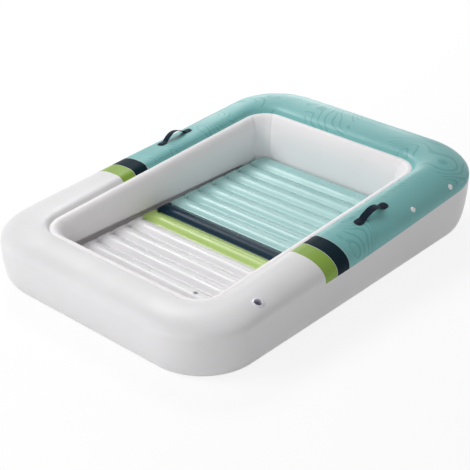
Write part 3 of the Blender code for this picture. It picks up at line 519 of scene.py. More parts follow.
def corner_creases():
    """Depth share of the creases in the inner wall at each station: a pair of folds in each corner.

    Each fold is exp(-s) of the share's distance s from its place, in fold widths, and the facet
    between them is pressed in by a smooth plateau.
    """
    folds = sum(np.exp(-np.abs(SHARE - place) / CREASE_WIDTH) for place in CREASE_PLACES)
    facet = smooth_step(SHARE, *FACET_START) * (1 - smooth_step(SHARE, *FACET_END))
    level = sum(np.where(SEGMENT == number, share, 0.0) for number, share in CREASE_LEVELS.items())
    return level * (FOLD_LEVEL * folds + FACET_LEVEL * facet)


def seam_dip(from_seam):
    """Depth share of the valley that a weld pulls in between two bulging panels: exp(-(d/width)^1.5)."""
    return np.exp(-(from_seam / SEAM_DIP_WIDTH) ** SEAM_DIP_POWER)


def wall_lift(sizes, pucker, from_start, from_end):
    """Inner wall: puckers that fade as exp(-d/fade) from both edges, corner creases and the seam's valley."""
    past_margin = np.maximum(from_start - MARGIN_WIDTH, 0)
    ends = np.exp(-from_end / WALL_PUCKER_FADE) + WALL_FOOT_PUCKER * np.exp(-past_margin / WALL_PUCKER_FADE)
    height = smooth_step(from_start, *CREASE_RISE) * smooth_step(from_end, *CREASE_FADE)
    depth = sizes.corner_crease * corner_creases()[None] * (CREASE_LEAST + (1 - CREASE_LEAST) * height)
    lift = (pucker * ends - depth) * smooth_step(from_start, *MARGIN_FREE)
    return lift * smooth_step(from_end, *WALL_WELD_FREE) - sizes.seam_valley * seam_dip(from_end)


def upper_lift(sizes, pucker, slack, from_start, from_end):
    """Upper panel: puckers that fade from both seams, long waves on a sine arch and the seam's valley."""
    ends = np.exp(-from_end / OUTER_PUCKER_FADE) + INNER_SEAM_PUCKER * np.exp(-from_start / INNER_PUCKER_FADE)
    lift = pucker * ends + slack * np.sin(math.pi * from_start / from_start[-1:])
    lift = lift * smooth_step(from_end, *WELD_FREE) * smooth_step(from_start, *WELD_FREE)
    return lift - sizes.seam_valley * seam_dip(from_start + SEAM_LAP)


def ring_surface(sizes):
    """Points, normals and distances from both edges of the ring's three runs of rows.

    Each point is lifted along its normal by its panel's puckers, waves, creases and seam valley.
    """
    around, total = outline_distance()
    pucker = sizes.seam_pucker * ripples(around, total, PUCKER_WAVES, PUCKER_SEED)[None]
    slack = sizes.slackness * ripples(around, total, SLACK_WAVES, SLACK_SEED)[None]
    runs = ring_sections()
    starts = [row_lengths(run) for run in runs]
    ends = [start[-1:] - start for start in starts]
    lifts = (wall_lift(sizes, pucker, starts[0], ends[0]),
             upper_lift(sizes, pucker, slack, starts[1], ends[1]),
             pucker * np.exp(-starts[2] / OUTER_PUCKER_FADE) * smooth_step(starts[2], *WELD_FREE))
    normals = [outward(run) for run in runs]
    points = [run + normal * lift[..., None] for run, normal, lift in zip(runs, normals, lifts)]
    return list(zip(points, normals, starts, ends))


def panel_pieces(sizes):
    """Grids and seam distances of the three panels.

    The upper panel's edges reach a lap past its own rows and turn in by a seam's step. The inner
    wall and lower panel lie a step further in and run on for a lap beneath it.
    """
    (wall, wall_normal, _, wall_end), upper_run, (lower, lower_normal, lower_start, _) = ring_surface(sizes)
    upper, upper_normal, upper_start, upper_end = upper_run
    inner_edge, outer_edge = wall[-1:], lower[:1]
    lap_shares = np.array([0.04, 0.5])[:, None, None]
    inner_lap = inner_edge + (upper[:1] - inner_edge) * lap_shares
    outer_lap = outer_edge + (upper[-1:] - outer_edge) * lap_shares[::-1]
    upper_grid = np.concatenate([inner_edge - upper_normal[:1] * SEAM_STEP, inner_edge, inner_lap, upper,
                                 outer_lap, outer_edge, outer_edge - upper_normal[-1:] * SEAM_STEP])
    edge = np.zeros_like(upper_start[:1])
    lap = np.repeat(edge, 2, axis=0) + SEAM_LAP * lap_shares[..., 0]
    seam = np.minimum(upper_start, upper_end) + SEAM_LAP
    upper_seam = np.concatenate([edge, edge, lap, seam, lap[::-1], edge, edge])
    beneath = upper - upper_normal * 2 * SEAM_STEP
    wall_grid = np.concatenate([wall - wall_normal * SEAM_STEP, beneath[:2]])
    lower_grid = np.concatenate([beneath[-2:], lower - lower_normal * SEAM_STEP])
    return ((upper_grid, upper_seam), (wall_grid, np.concatenate([wall_end, edge, edge])),
            (lower_grid, np.concatenate([edge, edge, lower_start])))


def open_hole(points, hub, radius):
    """Round the grid's points to a circle about the hub's axis, and mask the quads inside it.

    Points closer to the circle than half a step move out or in to it along their own radius.
    """
    origin, axes = hub
    local = (points - origin) @ axes
    reach = np.hypot(local[..., 0], local[..., 1])
    level = np.abs(local[..., 2]) < HOLE_REACH
    near = level & (np.abs(reach - radius) < HOLE_SNAP)
    local[..., :2] *= np.where(near, radius / np.maximum(reach, 1e-9), 1.0)[..., None]
    inside = level & (np.hypot(local[..., 0], local[..., 1]) < radius + HOLE_EDGE)
    ring = np.concatenate([inside, inside[:, :1]], axis=1)
    covered = ring[:-1, :-1] & ring[1:, :-1] & ring[1:, 1:] & ring[:-1, 1:]
    moved = points.copy()
    moved[near] = (local @ axes.T + origin)[near]
    return moved, ~covered


def chamber_sheet(sections, place_y, side):
    """Points of a flat sheet that fills the tube's section at a place along a straight side.

    Every row of the ring outside the mattress's margin gives one point of the outline, where it passes
    the place. The outline is drawn in by three layers and carried over the sheet's front and back from
    the section's middle.
    """
    wall, upper, lower = sections
    on_side = SEGMENT == (LEFT_SIDE if side > 0 else RIGHT_SIDE)
    rows = np.concatenate([wall[2:], upper, lower[:-1]])[:, on_side]
    if side < 0:
        rows = rows[:, ::-1]
    outline = np.array([(np.interp(place_y, row[:, 1], row[:, 0]), np.interp(place_y, row[:, 1], row[:, 2]))
                        for row in rows])
    middle = outline.mean(axis=0)
    away = outline - middle
    away = away * (1 - 3 * LAYER / np.linalg.norm(away, axis=1, keepdims=True))
    flat = middle + away * np.array([0.0, 0.5, 1.0, 1.0, 0.5, 0.0])[:, None, None]
    y = np.broadcast_to(place_y + LAYER / 2 * np.array([-1, -1, -1, 1, 1, 1])[:, None], flat.shape[:2])
    return np.stack([flat[..., 0], y, flat[..., 1]], axis=-1)


# Places on the ring's skin

def crest_share(turn):
    """Shares 1 - cos^(2/n) in plan and sin^(2/n) in height of the way from the outer seam to the crest."""
    return 1 - math.cos(turn) ** (2 / UPPER_FULLNESS), math.sin(turn) ** (2 / UPPER_FULLNESS)


def tube_point(place_y, turn_deg):
    """A point of the model's faceted skin on the left side between the outer seam and the crest."""
    rise = place_y / LENGTH
    low = OUTER_SEAM_HEIGHT + SEAM_LAP + OUTER_SEAM_RISE * rise
    high = CREST_HEIGHT + CREST_RISE * rise
    facet = math.radians(turn_deg) / QUARTER * UPPER_FACETS
    start = int(facet)
    first, second = (crest_share(QUARTER * (start + step) / UPPER_FACETS) for step in (0, 1))
    along, up = (a + (b - a) * (facet - start) for a, b in zip(first, second))
    return Vector((HALF_WIDTH - CREST_INSETS[0] * along, place_y, low + (high - low) * up))


def skin_hub(place_y, turn_deg, side=1):
    """Origin and axes (as columns) of a place on the skin: z out of the tube, x towards the head end."""
    short_step, one_degree = 0.010, 1
    point = tube_point(place_y, turn_deg)
    up_the_tube = tube_point(place_y, turn_deg + one_degree) - point
    to_head = (tube_point(place_y + short_step, turn_deg) - point).normalized()
    out = to_head.cross(up_the_tube).normalized()
    mirror = Vector((side, 1, 1))
    point, to_head, out = point * mirror, to_head * mirror, out * mirror
    across = out.cross(to_head)
    return np.array(point), np.array((to_head, across, out)).T


def skin_fit(skin, hub, reach):
    """Least squares fit z = a + bx + cy + dx² + exy + fy² of the skin near a hub, in the hub's frame."""
    origin, axes = hub
    local = (skin.reshape(-1, 3) - origin) @ axes
    near = local[(np.hypot(local[:, 0], local[:, 1]) < reach) & (np.abs(local[:, 2]) < reach)]
    return np.linalg.lstsq(quadratic(near[:, 0], near[:, 1]), near[:, 2], rcond=None)[0]


def quadratic(x, y):
    """The terms 1, x, y, x², xy and y²."""
    return np.stack([np.ones_like(x), x, y, x * x, x * y, y * y], axis=-1)


def to_world(points, hub):
    """Points of a hub's frame in the object's frame."""
    origin, axes = hub
    return points @ axes.T + origin


def draped(points, fit, start, end):
    """Points lifted by the skin's fit: as a plane within the radius start, along the skin past end."""
    x, y = points[..., 0], points[..., 1]
    share = smooth_step(np.hypot(x, y), start, end)
    lifted = points.copy()
    lifted[..., 2] += fit[0] + (quadratic(x, y) @ fit - fit[0]) * share
    return lifted


# Mattress surface

def mattress_height(x, y, edge_in, crown, weld, margin, sizes, seed):
    """Height of a mattress sheet.

    The depth under the crown is (1-u)², where u runs from 0 on a weld to 1 halfway to the next one
    with the hyperbola sqrt(d² + w²) - w of the distance d, so that a weld lies in a soft V. It fades
    out at the weld's ends but for a shallow pinch, so the ribs end round and their air is joined
    along the edge. The outer edge is a quarter ellipse in the distance edge_in. Puckers are cosines
    along the weld that fade away from it, and a small notch sinks each weld's end.
    """
    place = np.clip((y - LAST_WELD) / RIB_PITCH, -0.5, RIB_COUNT - 1.5)
    number = np.round(place)
    from_weld = np.abs(place - number) * RIB_PITCH
    halfway = math.hypot(RIB_PITCH / 2, WELD_WIDTH) - WELD_WIDTH
    valley = (1 - np.clip((np.hypot(from_weld, WELD_WIDTH) - WELD_WIDTH) / halfway, 0.0, 1.0)) ** 2
    strength = smooth_step(edge_in, WELD_END - WELD_END_FADE, WELD_END + WELD_END_FADE)
    pinch = PINCH_LEVEL * np.exp(-(from_weld / PINCH_WIDTH) ** 2) * (1 - strength)
    notch = np.exp(-((edge_in - WELD_END - NOTCH_SETBACK) / NOTCH_LENGTH) ** 2)
    notch = notch * np.exp(-(from_weld / NOTCH_WIDTH) ** 2)
    phase = np.random.default_rng(seed).uniform(0, TURN, (3, RIB_COUNT + 1))
    phase = phase[:, number.astype(int) + 1]
    waves = sum(np.cos(x * scale + phase[row]) for row, scale in enumerate(RIB_WAVES)) / len(RIB_WAVES)
    pucker = sizes.rib_pucker * waves * np.exp(-from_weld / RIB_PUCKER_FADE) * strength
    depth = crown - weld
    height = crown - depth * (valley * strength + pinch)
    height = height + np.sign(depth) * (pucker - sizes.weld_notch * notch)
    edge = np.clip((edge_in - MARGIN_WIDTH) / EDGE_ROUND, 0.0, 1.0)
    return margin + (height - margin) * np.sqrt(1 - (1 - edge) ** 2)


def stretch(start, end, rim, step):
    """Places from start to end: a rim's fine places at both ends, and even steps between."""
    inner = np.linspace(start + rim[-1], end - rim[-1], max(2, round((end - start - 2 * rim[-1]) / step)))
    return np.concatenate([start + rim[:-1], inner, end - rim[:-1][::-1]])


def mattress_grid(crown, weld, margin, steps, sizes, seed):
    """Points of a mattress sheet on a rounded rectangle, squeezed into its round corners.

    In a corner the square grid is pulled in along its rays, by the larger offset over their length.
    """
    side, foot, head = wider(JOINT_INSETS, MARGIN_SETBACK)
    half, foot_end, head_end = HALF_WIDTH - side, foot - HALF_LENGTH, HALF_LENGTH - head
    corner = JOINT_CORNER - MARGIN_SETBACK
    first_turn, turns = 0.12, 13
    curve = MARGIN_WIDTH + EDGE_ROUND * (1 - np.cos(np.linspace(first_turn, QUARTER, turns)))
    rim = np.concatenate([[0.0, MARGIN_WIDTH], curve])
    x, y = np.meshgrid(stretch(-half, half, rim, steps[0]), stretch(foot_end, head_end, rim, steps[1]))
    edge_in = np.minimum(half - np.abs(x), np.minimum(head_end - y, y - foot_end))
    z = mattress_height(x, y, edge_in, crown, weld, margin, sizes, seed)
    across = np.abs(x) - (half - corner)
    beyond = np.maximum(y - (head_end - corner), foot_end + corner - y)
    cut = (across > 0) & (beyond > 0)
    pull = np.where(cut, np.maximum(across, beyond) / np.maximum(np.hypot(across, beyond), 1e-9), 1.0)
    plan_x = x - np.copysign(across * (1 - pull), x)
    plan_y = y - np.copysign(beyond * (1 - pull), y)
    return np.stack([plan_x, plan_y, z], axis=-1)


# Plates and straps

def rounded_outline(length, width, corner, steps=9):
    """Points of a rectangle with round corners, anticlockwise and centred, in the plane."""
    turn = np.linspace(0, QUARTER, steps)
    parts = []
    for quarter, (side_x, side_y) in enumerate(((1, 1), (-1, 1), (-1, -1), (1, -1))):
        angle = turn + quarter * QUARTER
        centre = np.array([side_x * (length / 2 - corner), side_y * (width / 2 - corner)])
        parts.append(centre + corner * np.stack([np.cos(angle), np.sin(angle)], axis=-1))
    return np.concatenate(parts)


def soft_plate(length, width, corner, top, bottom, edge):
    """Points of a plate: its outline is carried from the middle of the top over a round edge to below.

    Each row is the outline scaled to an inset from its edge, at the row's height.
    """
    outline = rounded_outline(length, width, corner)
    size = np.array([length, width]) / 2
    middle, halfway = min(size) * 0.98, min(size) * 0.55
    turn = np.linspace(0, QUARTER, 6)
    insets = np.concatenate([[middle, halfway, edge * 1.8], edge * (1 - np.sin(turn)), [0.0, edge, middle]])
    below = [bottom + edge / 2, bottom, bottom]
    heights = np.concatenate([[top] * 3, top - edge * (1 - np.cos(turn)), below])
    flat = outline[None] * ((size - insets[:, None]) / size)[:, None, :]
    return np.concatenate([flat, np.broadcast_to(heights[:, None, None], flat.shape[:2] + (1,))], axis=-1)


def signed_power(value, power):
    """The value's size to a power, with its sign."""
    return np.sign(value) * np.abs(value) ** power


def strap_points(fit):
    """Points of a strap: a flat superellipse section carried along an arch between flat tails.

    The tails follow the skin's fit over the patches. The arch is a quarter cosine that turns into a
    half cosine at its feet, so that it lifts off level. The section leans with the arch's slope, and
    the tails' corners are round.
    """
    half = HANDLE_LENGTH / 2 - (PATCH_WIDTH - STRAP_WIDTH) / 2
    arch_half = HANDLE_LENGTH / 2 - PATCH_LENGTH + ARCH_OVER_PATCH
    straight = half - STRAP_CORNER
    tail = half - STRAP_CORNER * (1 - np.sin(np.linspace(0, QUARTER, 10)))
    x = np.concatenate([-tail[::-1], np.linspace(-straight, straight, 130)[1:-1], tail])
    into_corner = np.clip(np.abs(x) - straight, 0, STRAP_CORNER)
    reach = STRAP_WIDTH / 2 - STRAP_CORNER + np.sqrt(STRAP_CORNER ** 2 - into_corner ** 2)
    x = np.concatenate([x[:1] - 1e-6, x, x[-1:] + 1e-6])
    reach = np.concatenate([reach[:1] - STRAP_TIP_ROUND, reach, reach[-1:] - STRAP_TIP_ROUND])
    thick = np.full_like(x, STRAP_THICKNESS / 2)
    thick[[0, -1]] = 0.0
    turn = np.linspace(0, TURN, 44, endpoint=False)
    y = reach[:, None] * signed_power(np.sin(turn), STRAP_SIDE_POWER)[None]
    off = thick[:, None] * signed_power(np.cos(turn), STRAP_FACE_POWER)[None]
    share = np.clip(np.abs(x) / arch_half, 0, 1)
    foot = smooth_step(share, ARCH_FOOT, 1.0)
    lift = (1 - foot) * np.cos(QUARTER * share) + foot * (1 + np.cos(math.pi * share)) / 2
    lean = np.arctan(STRAP_RISE * np.gradient(lift, x, edge_order=1))[:, None]
    lift = lift[:, None]
    across = np.broadcast_to(x[:, None], y.shape)
    skin = quadratic(across, y) @ fit
    middle = fit[0] + (skin - fit[0]) * (1 - lift) + STRAP_RISE * lift
    middle = middle + PATCH_HEIGHT + CLEARANCE + STRAP_THICKNESS / 2
    return np.stack([across - np.sin(lean) * off, y, middle + np.cos(lean) * off], axis=-1)


# Materials

def fill(tree, made, inputs):
    """Fill a node's sockets with values or links."""
    for key, value in dict(inputs).items():
        if isinstance(value, bpy.types.NodeSocket):
            tree.links.new(value, made.inputs[key])
        else:
            made.inputs[key].default_value = value


def shader_node(tree, kind, inputs=(), **settings):
    """Add a node, set it up, and fill its sockets."""
    made = tree.nodes.new(kind)
    for key, value in settings.items():
        setattr(made, key, value)
    fill(tree, made, inputs)
    return made


def maths(tree, operation, *values):
    """The result of a Math node."""
    return shader_node(tree, "ShaderNodeMath", dict(enumerate(values)), operation=operation).outputs[0]


def times(tree, first, second):
    """The product of two values."""
    return maths(tree, "MULTIPLY", first, second)


def minus(tree, first, second):
    """The difference of two values."""
    return maths(tree, "SUBTRACT", first, second)


def apart(tree, first, second):
    """The distance between two values."""
    return maths(tree, "ABSOLUTE", minus(tree, first, second))


def wave(tree, value, pitch):
    """A sine wave of a pitch in metres."""
    return maths(tree, "SINE", times(tree, value, TURN / pitch))


def in_range(tree, value, low, high, start=0.0, end=1.0):
    """A value mapped from low..high to start..end along a smooth step."""
    made = shader_node(tree, "ShaderNodeMapRange", {0: value, 1: low, 2: high, 3: start, 4: end},
                       interpolation_type="SMOOTHSTEP")
    return made.outputs[0]


def past(tree, value, edge):
    """0 before a printed edge and 1 past it."""
    return in_range(tree, value, edge - INK_BLUR, edge + INK_BLUR)


def mixed(tree, factor, first, second):
    """A mix of two colours by a factor."""
    made = shader_node(tree, "ShaderNodeMix", {0: factor, 6: first, 7: second}, data_type="RGBA")
    return made.outputs[2]


def noise(tree, vector, scale, detail=2.0):
    """The factor of a Noise texture at a scale in waves per metre."""
    made = shader_node(tree, "ShaderNodeTexNoise", {"Vector": vector, "Scale": scale, "Detail": detail})
    return made.outputs[0]


def bumped(tree, height, distance, strength=1.0, below=None):
    """A normal that is bumped by a height in shares of a distance in metres."""
    inputs = {"Height": height, "Distance": distance, "Strength": strength}
    if below is not None:
        inputs["Normal"] = below
    return shader_node(tree, "ShaderNodeBump", inputs).outputs[0]


def bump_over(tree, shader, height, distance, strength):
    """Bump a shader's normal once more."""
    below = shader.inputs["Normal"].links[0].from_socket
    tree.links.new(bumped(tree, height, distance, strength, below), shader.inputs["Normal"])


def separated(tree, vector):
    """A vector's three values."""
    return shader_node(tree, "ShaderNodeSeparateXYZ", {0: vector}).outputs


def uv_map(tree):
    """The piece's own UV map."""
    return shader_node(tree, "ShaderNodeUVMap", uv_map="UVMap").outputs[0]


def seam_or_shade_value(tree):
    """The piece's own seam attribute: a seam distance, or a share of painted shade in the valve's cup."""
    return shader_node(tree, "ShaderNodeAttribute", attribute_name="seam").outputs["Fac"]


def start_material(name):
    """A new material, its tree, its shader and the Object coordinates."""
    look = bpy.data.materials.new(name)
    look.use_nodes = True
    tree = look.node_tree
    where = shader_node(tree, "ShaderNodeTexCoord").outputs["Object"]
    return look, tree, tree.nodes["Principled BSDF"], where


def opaque(colour, level=1.0):
    """A colour property as a four value socket colour, at a level of its brightness."""
    return (*(min(1.0, level * value) for value in colour), 1.0)


def vinyl_tone(tree, where, colour, spread=0.035):
    """A colour that drifts a little, as ink and pigment do, from place to place."""
    drift = in_range(tree, noise(tree, where, 2.3, detail=3.0), 0.3, 0.7, 1.0 - spread, 1.0 + spread)
    made = shader_node(tree, "ShaderNodeVectorMath", {0: colour, "Scale": drift}, operation="SCALE")
    return made.outputs[0]


def vinyl_finish(tree, shader, where, roughness=SATIN, seam_band=False):
    """Satin vinyl: hazy roughness, soft slack waves, a fine grain, and the pressed line of a weld."""
    haze = in_range(tree, noise(tree, where, 3.1, detail=3.0), 0.35, 0.65, roughness - 0.03, roughness + 0.06)
    smears = in_range(tree, noise(tree, where, 38.0, detail=4.0), 0.55, 0.80, 0.0, 0.03)
    normal = bumped(tree, noise(tree, where, 7.0), distance=0.004, strength=0.30)
    normal = bumped(tree, noise(tree, where, 1500.0), distance=0.00005, strength=0.45, below=normal)
    if seam_band:
        ridges = wave(tree, separated(tree, uv_map(tree))[0], WELD_RIDGE_PITCH)
        free = in_range(tree, seam_or_shade_value(tree), *WELD_PRESSED)
        pressed = times(tree, times(tree, ridges, 0.3), minus(tree, 1.0, free))
        normal = bumped(tree, maths(tree, "ADD", free, pressed), distance=0.0002, strength=0.4, below=normal)
    fill(tree, shader, {"Roughness": maths(tree, "ADD", haze, smears), "Normal": normal,
                        "Specular IOR Level": SPECULAR})


def plain_vinyl(name, colour, roughness=SATIN, spread=0.02, seam_band=False):
    """Vinyl of one colour."""
    look, tree, shader, where = start_material(name)
    tree.links.new(vinyl_tone(tree, where, tuple(colour), spread), shader.inputs["Base Color"])
    vinyl_finish(tree, shader, where, roughness, seam_band)
    return look


def dark_ink(tree, shader, along, start, end, level):
    """Less reflection between two places along the length, where the dark ink lies."""
    inked = minus(tree, past(tree, along, start), past(tree, along, end))
    left = minus(tree, SPECULAR, times(tree, inked, SPECULAR - level))
    tree.links.new(left, shader.inputs["Specular IOR Level"])


def contour_lines(tree, where, pitch):
    """Mask of thin printed contour lines: level lines of a slow noise, shown in round patches.

    A second noise bends the patches' edges.
    """
    levels_per_pitch, patch_blur = 0.36, 0.02
    hills = shader_node(tree, "ShaderNodeTexNoise", {"Vector": where, "Scale": 2.8, "Detail": 0.8,
                                                     "Distortion": 0.6}).outputs[0]
    levels = maths(tree, "FRACT", times(tree, hills, levels_per_pitch / pitch))
    line = in_range(tree, apart(tree, levels, 0.5), 0.08, 0.18, 1.0, 0.0)
    bend = times(tree, minus(tree, noise(tree, where, 5.0, detail=1.0), 0.5), 0.35)
    shown = 0.0
    for centre, reach in CONTOUR_PATCHES:
        away = shader_node(tree, "ShaderNodeVectorMath", {0: where, 1: centre}, operation="DISTANCE")
        away = maths(tree, "ADD", away.outputs["Value"], bend)
        patch = in_range(tree, away, reach - patch_blur, reach, 1.0, 0.0)
        shown = maths(tree, "MAXIMUM", shown, patch)
    return times(tree, line, shown)


def printed_vinyl(colours, sizes):
    """The upper panel: white foot, lime band, navy band and aqua head with contour lines.

    The bands are steps on the Object Y coordinate, with a thin bare line on each edge of the navy.
    """
    look, tree, shader, where = start_material("printed_vinyl_smooth")
    along = separated(tree, where)["Y"]
    lines = times(tree, contour_lines(tree, where, sizes.contour_pitch),
                  in_range(tree, along, NAVY_END, NAVY_END + 0.10))
    ink = mixed(tree, times(tree, lines, 0.6), opaque(colours.aqua), opaque(colours.contour))
    colour, lime, navy = opaque(colours.white), opaque(colours.lime), opaque(colours.navy)
    for edge, band in ((LIME_START, lime), (BAND_SPLIT, navy), (NAVY_END, ink)):
        colour = mixed(tree, past(tree, along, edge), colour, band)
    for edge, width in ((BAND_SPLIT, 0.0008), (NAVY_END, 0.0006)):
        bare = in_range(tree, apart(tree, along, edge), width, width + 2 * INK_BLUR, 0.85, 0.0)
        colour = mixed(tree, bare, colour, opaque(colours.line))
    tree.links.new(vinyl_tone(tree, where, colour), shader.inputs["Base Color"])
    vinyl_finish(tree, shader, where, SATIN, True)
    dark_ink(tree, shader, along, BAND_SPLIT, NAVY_END, DARK_INK_SPECULAR)
    return look


def ribbed_vinyl(colours):
    """The mattress's top sheet: aqua, navy, lime and white ribs, with creased welds between them."""
    look, tree, shader, where = start_material("ribbed_vinyl_smooth")
    along = separated(tree, where)["Y"]
    colour = opaque(colours.white)
    for ribs_back, ink in ((2, colours.rib_lime), (1, colours.rib_navy), (0, colours.rib_aqua)):
        colour = mixed(tree, past(tree, along, NAVY_RIB_END - ribs_back * RIB_PITCH), colour, opaque(ink))
    tree.links.new(vinyl_tone(tree, where, colour, 0.03), shader.inputs["Base Color"])
    vinyl_finish(tree, shader, where, RIB_SATIN)
    dark_ink(tree, shader, along, NAVY_RIB_END - RIB_PITCH, NAVY_RIB_END, DARK_RIB_SPECULAR)
    place = maths(tree, "DIVIDE", minus(tree, along, LAST_WELD - RIB_PITCH / 2), RIB_PITCH)
    near = in_range(tree, apart(tree, maths(tree, "FRACT", place), 0.5), 0.05, 0.30, 1.0, 0.1)
    from_navy = apart(tree, along, NAVY_RIB_END - 1.3 * RIB_PITCH)
    near = times(tree, near, in_range(tree, from_navy, 0.3 * RIB_PITCH, 1.2 * RIB_PITCH, 1.0, 0.0))
    across_welds = shader_node(tree, "ShaderNodeMapping", {"Vector": where, "Scale": (95.0, 26.0, 26.0)})
    creases = times(tree, noise(tree, across_welds.outputs[0], 1.0, detail=3.0), near)
    bump_over(tree, shader, creases, distance=0.0016, strength=0.12)
    return look


def strip_vinyl(colours):
    """Plain vinyl strips that are welded inside: webs and chamber walls."""
    look, tree, shader, where = start_material("strip_vinyl_smooth")
    tone = mixed(tree, 0.25, opaque(colours.white), STRIP_TINT)
    tree.links.new(vinyl_tone(tree, where, tone, 0.04), shader.inputs["Base Color"])
    vinyl_finish(tree, shader, where, STRIP_SATIN)
    return look


def moulded_vinyl(name, colour, roughness, cup=None):
    """Moulded soft vinyl: waxy gloss with a faint mottle, and painted shade darkening it down in the cup
    where there is one.
    """
    look, tree, shader, where = start_material(name)
    mottle = in_range(tree, noise(tree, where, 160.0), 0.35, 0.65, 0.0, 0.25)
    tone = mixed(tree, mottle, opaque(colour), opaque(colour, 0.9))
    # Painted shade: mix towards the cup colour by the shade share held in the seam attribute.
    if cup is not None:
        tone = mixed(tree, seam_or_shade_value(tree), tone, opaque(cup))
    grain = noise(tree, where, 900.0)
    fill(tree, shader, {"Base Color": tone,
                        "Roughness": in_range(tree, grain, 0.3, 0.7, roughness - 0.04, roughness + 0.06),
                        "Normal": bumped(tree, grain, distance=0.00008, strength=0.4),
                        "Coat Weight": 0.15, "Coat Roughness": 0.2})
    return look


def woven_webbing(colours):
    """Flat woven webbing on the UV map: warp ribs across it and a weft that slants to and fro."""
    look, tree, shader, _ = start_material("navy_webbing_woven")
    rib_pitch, weft_pitch, slant_pitch, slant_width = 0.0016, 0.0022, 0.0024, 0.0048
    across, along = separated(tree, uv_map(tree))[:2]
    slant = maths(tree, "ADD", times(tree, along, TURN / weft_pitch),
                  times(tree, maths(tree, "PINGPONG", across, slant_width), TURN / slant_pitch))
    weft = times(tree, maths(tree, "SINE", slant), 0.6)
    cloth = maths(tree, "ADD", times(tree, wave(tree, across, rib_pitch), 0.4), weft)
    tone = mixed(tree, in_range(tree, cloth, -1.0, 1.0, 0.0, 0.6),
                 opaque(colours.webbing, 0.65), opaque(colours.webbing, 1.9))
    fill(tree, shader, {"Base Color": tone, "Normal": bumped(tree, cloth, distance=0.00025, strength=0.8),
                        "Roughness": 0.62, "Specular IOR Level": 0.10})
    return look


def patch_vinyl(colours):
    """Navy vinyl patches with the pressed grid of a weld."""
    look = plain_vinyl("navy_patch_smooth", colours.navy, PATCH_SATIN, 0.08)
    tree = look.node_tree
    x, y = separated(tree, shader_node(tree, "ShaderNodeTexCoord").outputs["Object"])[:2]
    grid = times(tree, wave(tree, x, PATCH_GRID_PITCH), wave(tree, y, PATCH_GRID_PITCH))
    bump_over(tree, tree.nodes["Principled BSDF"], grid, distance=0.0002, strength=0.6)
    return look


# Operators

class LOUNGER_OT_ring(bpy.types.Operator):
    """Ring: the printed upper panel, the inner wall and the lower panel, with their lapped seams."""
    bl_idname = "lounger.ring"
    bl_label = "Ring panels"

    def execute(self, context):
        sizes, colours = context.scene.lounger_sizes, context.scene.lounger_colours
        (upper, upper_seam), (wall, wall_seam), (lower, lower_seam) = panel_pieces(sizes)
        upper, kept = open_hole(upper, skin_hub(*MAIN_VALVE), HOLE_RADIUS)
        # The inner wall takes the lighter white, painted to stand in for light bounced round the cockpit.
        inner_look = plain_vinyl("inner_wall_vinyl", colours.lit_inner_white, WALL_SATIN, seam_band=True)
        lower_look = plain_vinyl("lower_panel_vinyl", colours.white, seam_band=True)
        for node, points, keep, seam, look, slot in (
                ("upper_panel", upper, kept, upper_seam, printed_vinyl(colours, sizes), "printed_vinyl"),
                ("inner_wall_panel", wall, None, wall_seam, inner_look, "white_vinyl"),
                ("lower_panel", lower, None, lower_seam, lower_look, "white_vinyl")):
            mesh = grid_mesh(f"{node}_smooth", points, True, keep, seam)
            add_piece(f"{node}_smooth", mesh, look, slot, BODY, node)
        return {"FINISHED"}


class LOUNGER_OT_mattress(bpy.types.Operator):
    """Mattress: the ribbed top sheet and the bottom sheet, with puckered welds and rounded ribs."""
    bl_idname = "lounger.mattress"
    bl_label = "Mattress sheets"

    def execute(self, context):
        sizes, colours = context.scene.lounger_sizes, context.scene.lounger_colours
        half_gap = LAYER - CLEARANCE / 2
        top = mattress_grid(MATTRESS_TOP, MATTRESS_TOP - RIB_DEPTH, MARGIN_HEIGHT + half_gap,
                            TOP_STEPS, sizes, TOP_SEED)
        add_piece("mattress_top_smooth", grid_mesh("mattress_top_smooth", top[::-1]),
                  ribbed_vinyl(colours), "ribbed_vinyl", BODY, "mattress_top_sheet")
        bottom = mattress_grid(MATTRESS_UNDERSIDE, MATTRESS_UNDERSIDE + RIB_DEPTH_BELOW,
                               MARGIN_HEIGHT - half_gap, BOTTOM_STEPS, sizes, BOTTOM_SEED)
        add_piece("mattress_bottom_smooth", grid_mesh("mattress_bottom_smooth", bottom),
                  plain_vinyl("mattress_bottom_vinyl", colours.white), "white_vinyl", BODY,
                  "mattress_bottom_sheet")
        return {"FINISHED"}


class LOUNGER_OT_inner_strips(bpy.types.Operator):
    """Inner strips: two chamber walls fitted to the ring's section, and the finish of the webs."""
    bl_idname = "lounger.inner_strips"
    bl_label = "Inner strips"

    def execute(self, context):
        strip = strip_vinyl(context.scene.lounger_colours)
        sections = ring_sections()
        for name, side in (("left_chamber_wall", 1), ("right_chamber_wall", -1)):
            mesh = grid_mesh(f"{name}_smooth", chamber_sheet(sections, NAVY_END, side), True)
            add_piece(f"{name}_smooth", close_poles(mesh, turn_outward=True), strip, "web_vinyl", BODY, name,
                      sharp_deg=50)
        for name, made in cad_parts.items():
            if name.startswith("mattress_web"):
                finish_node(made, strip)
        return {"FINISHED"}


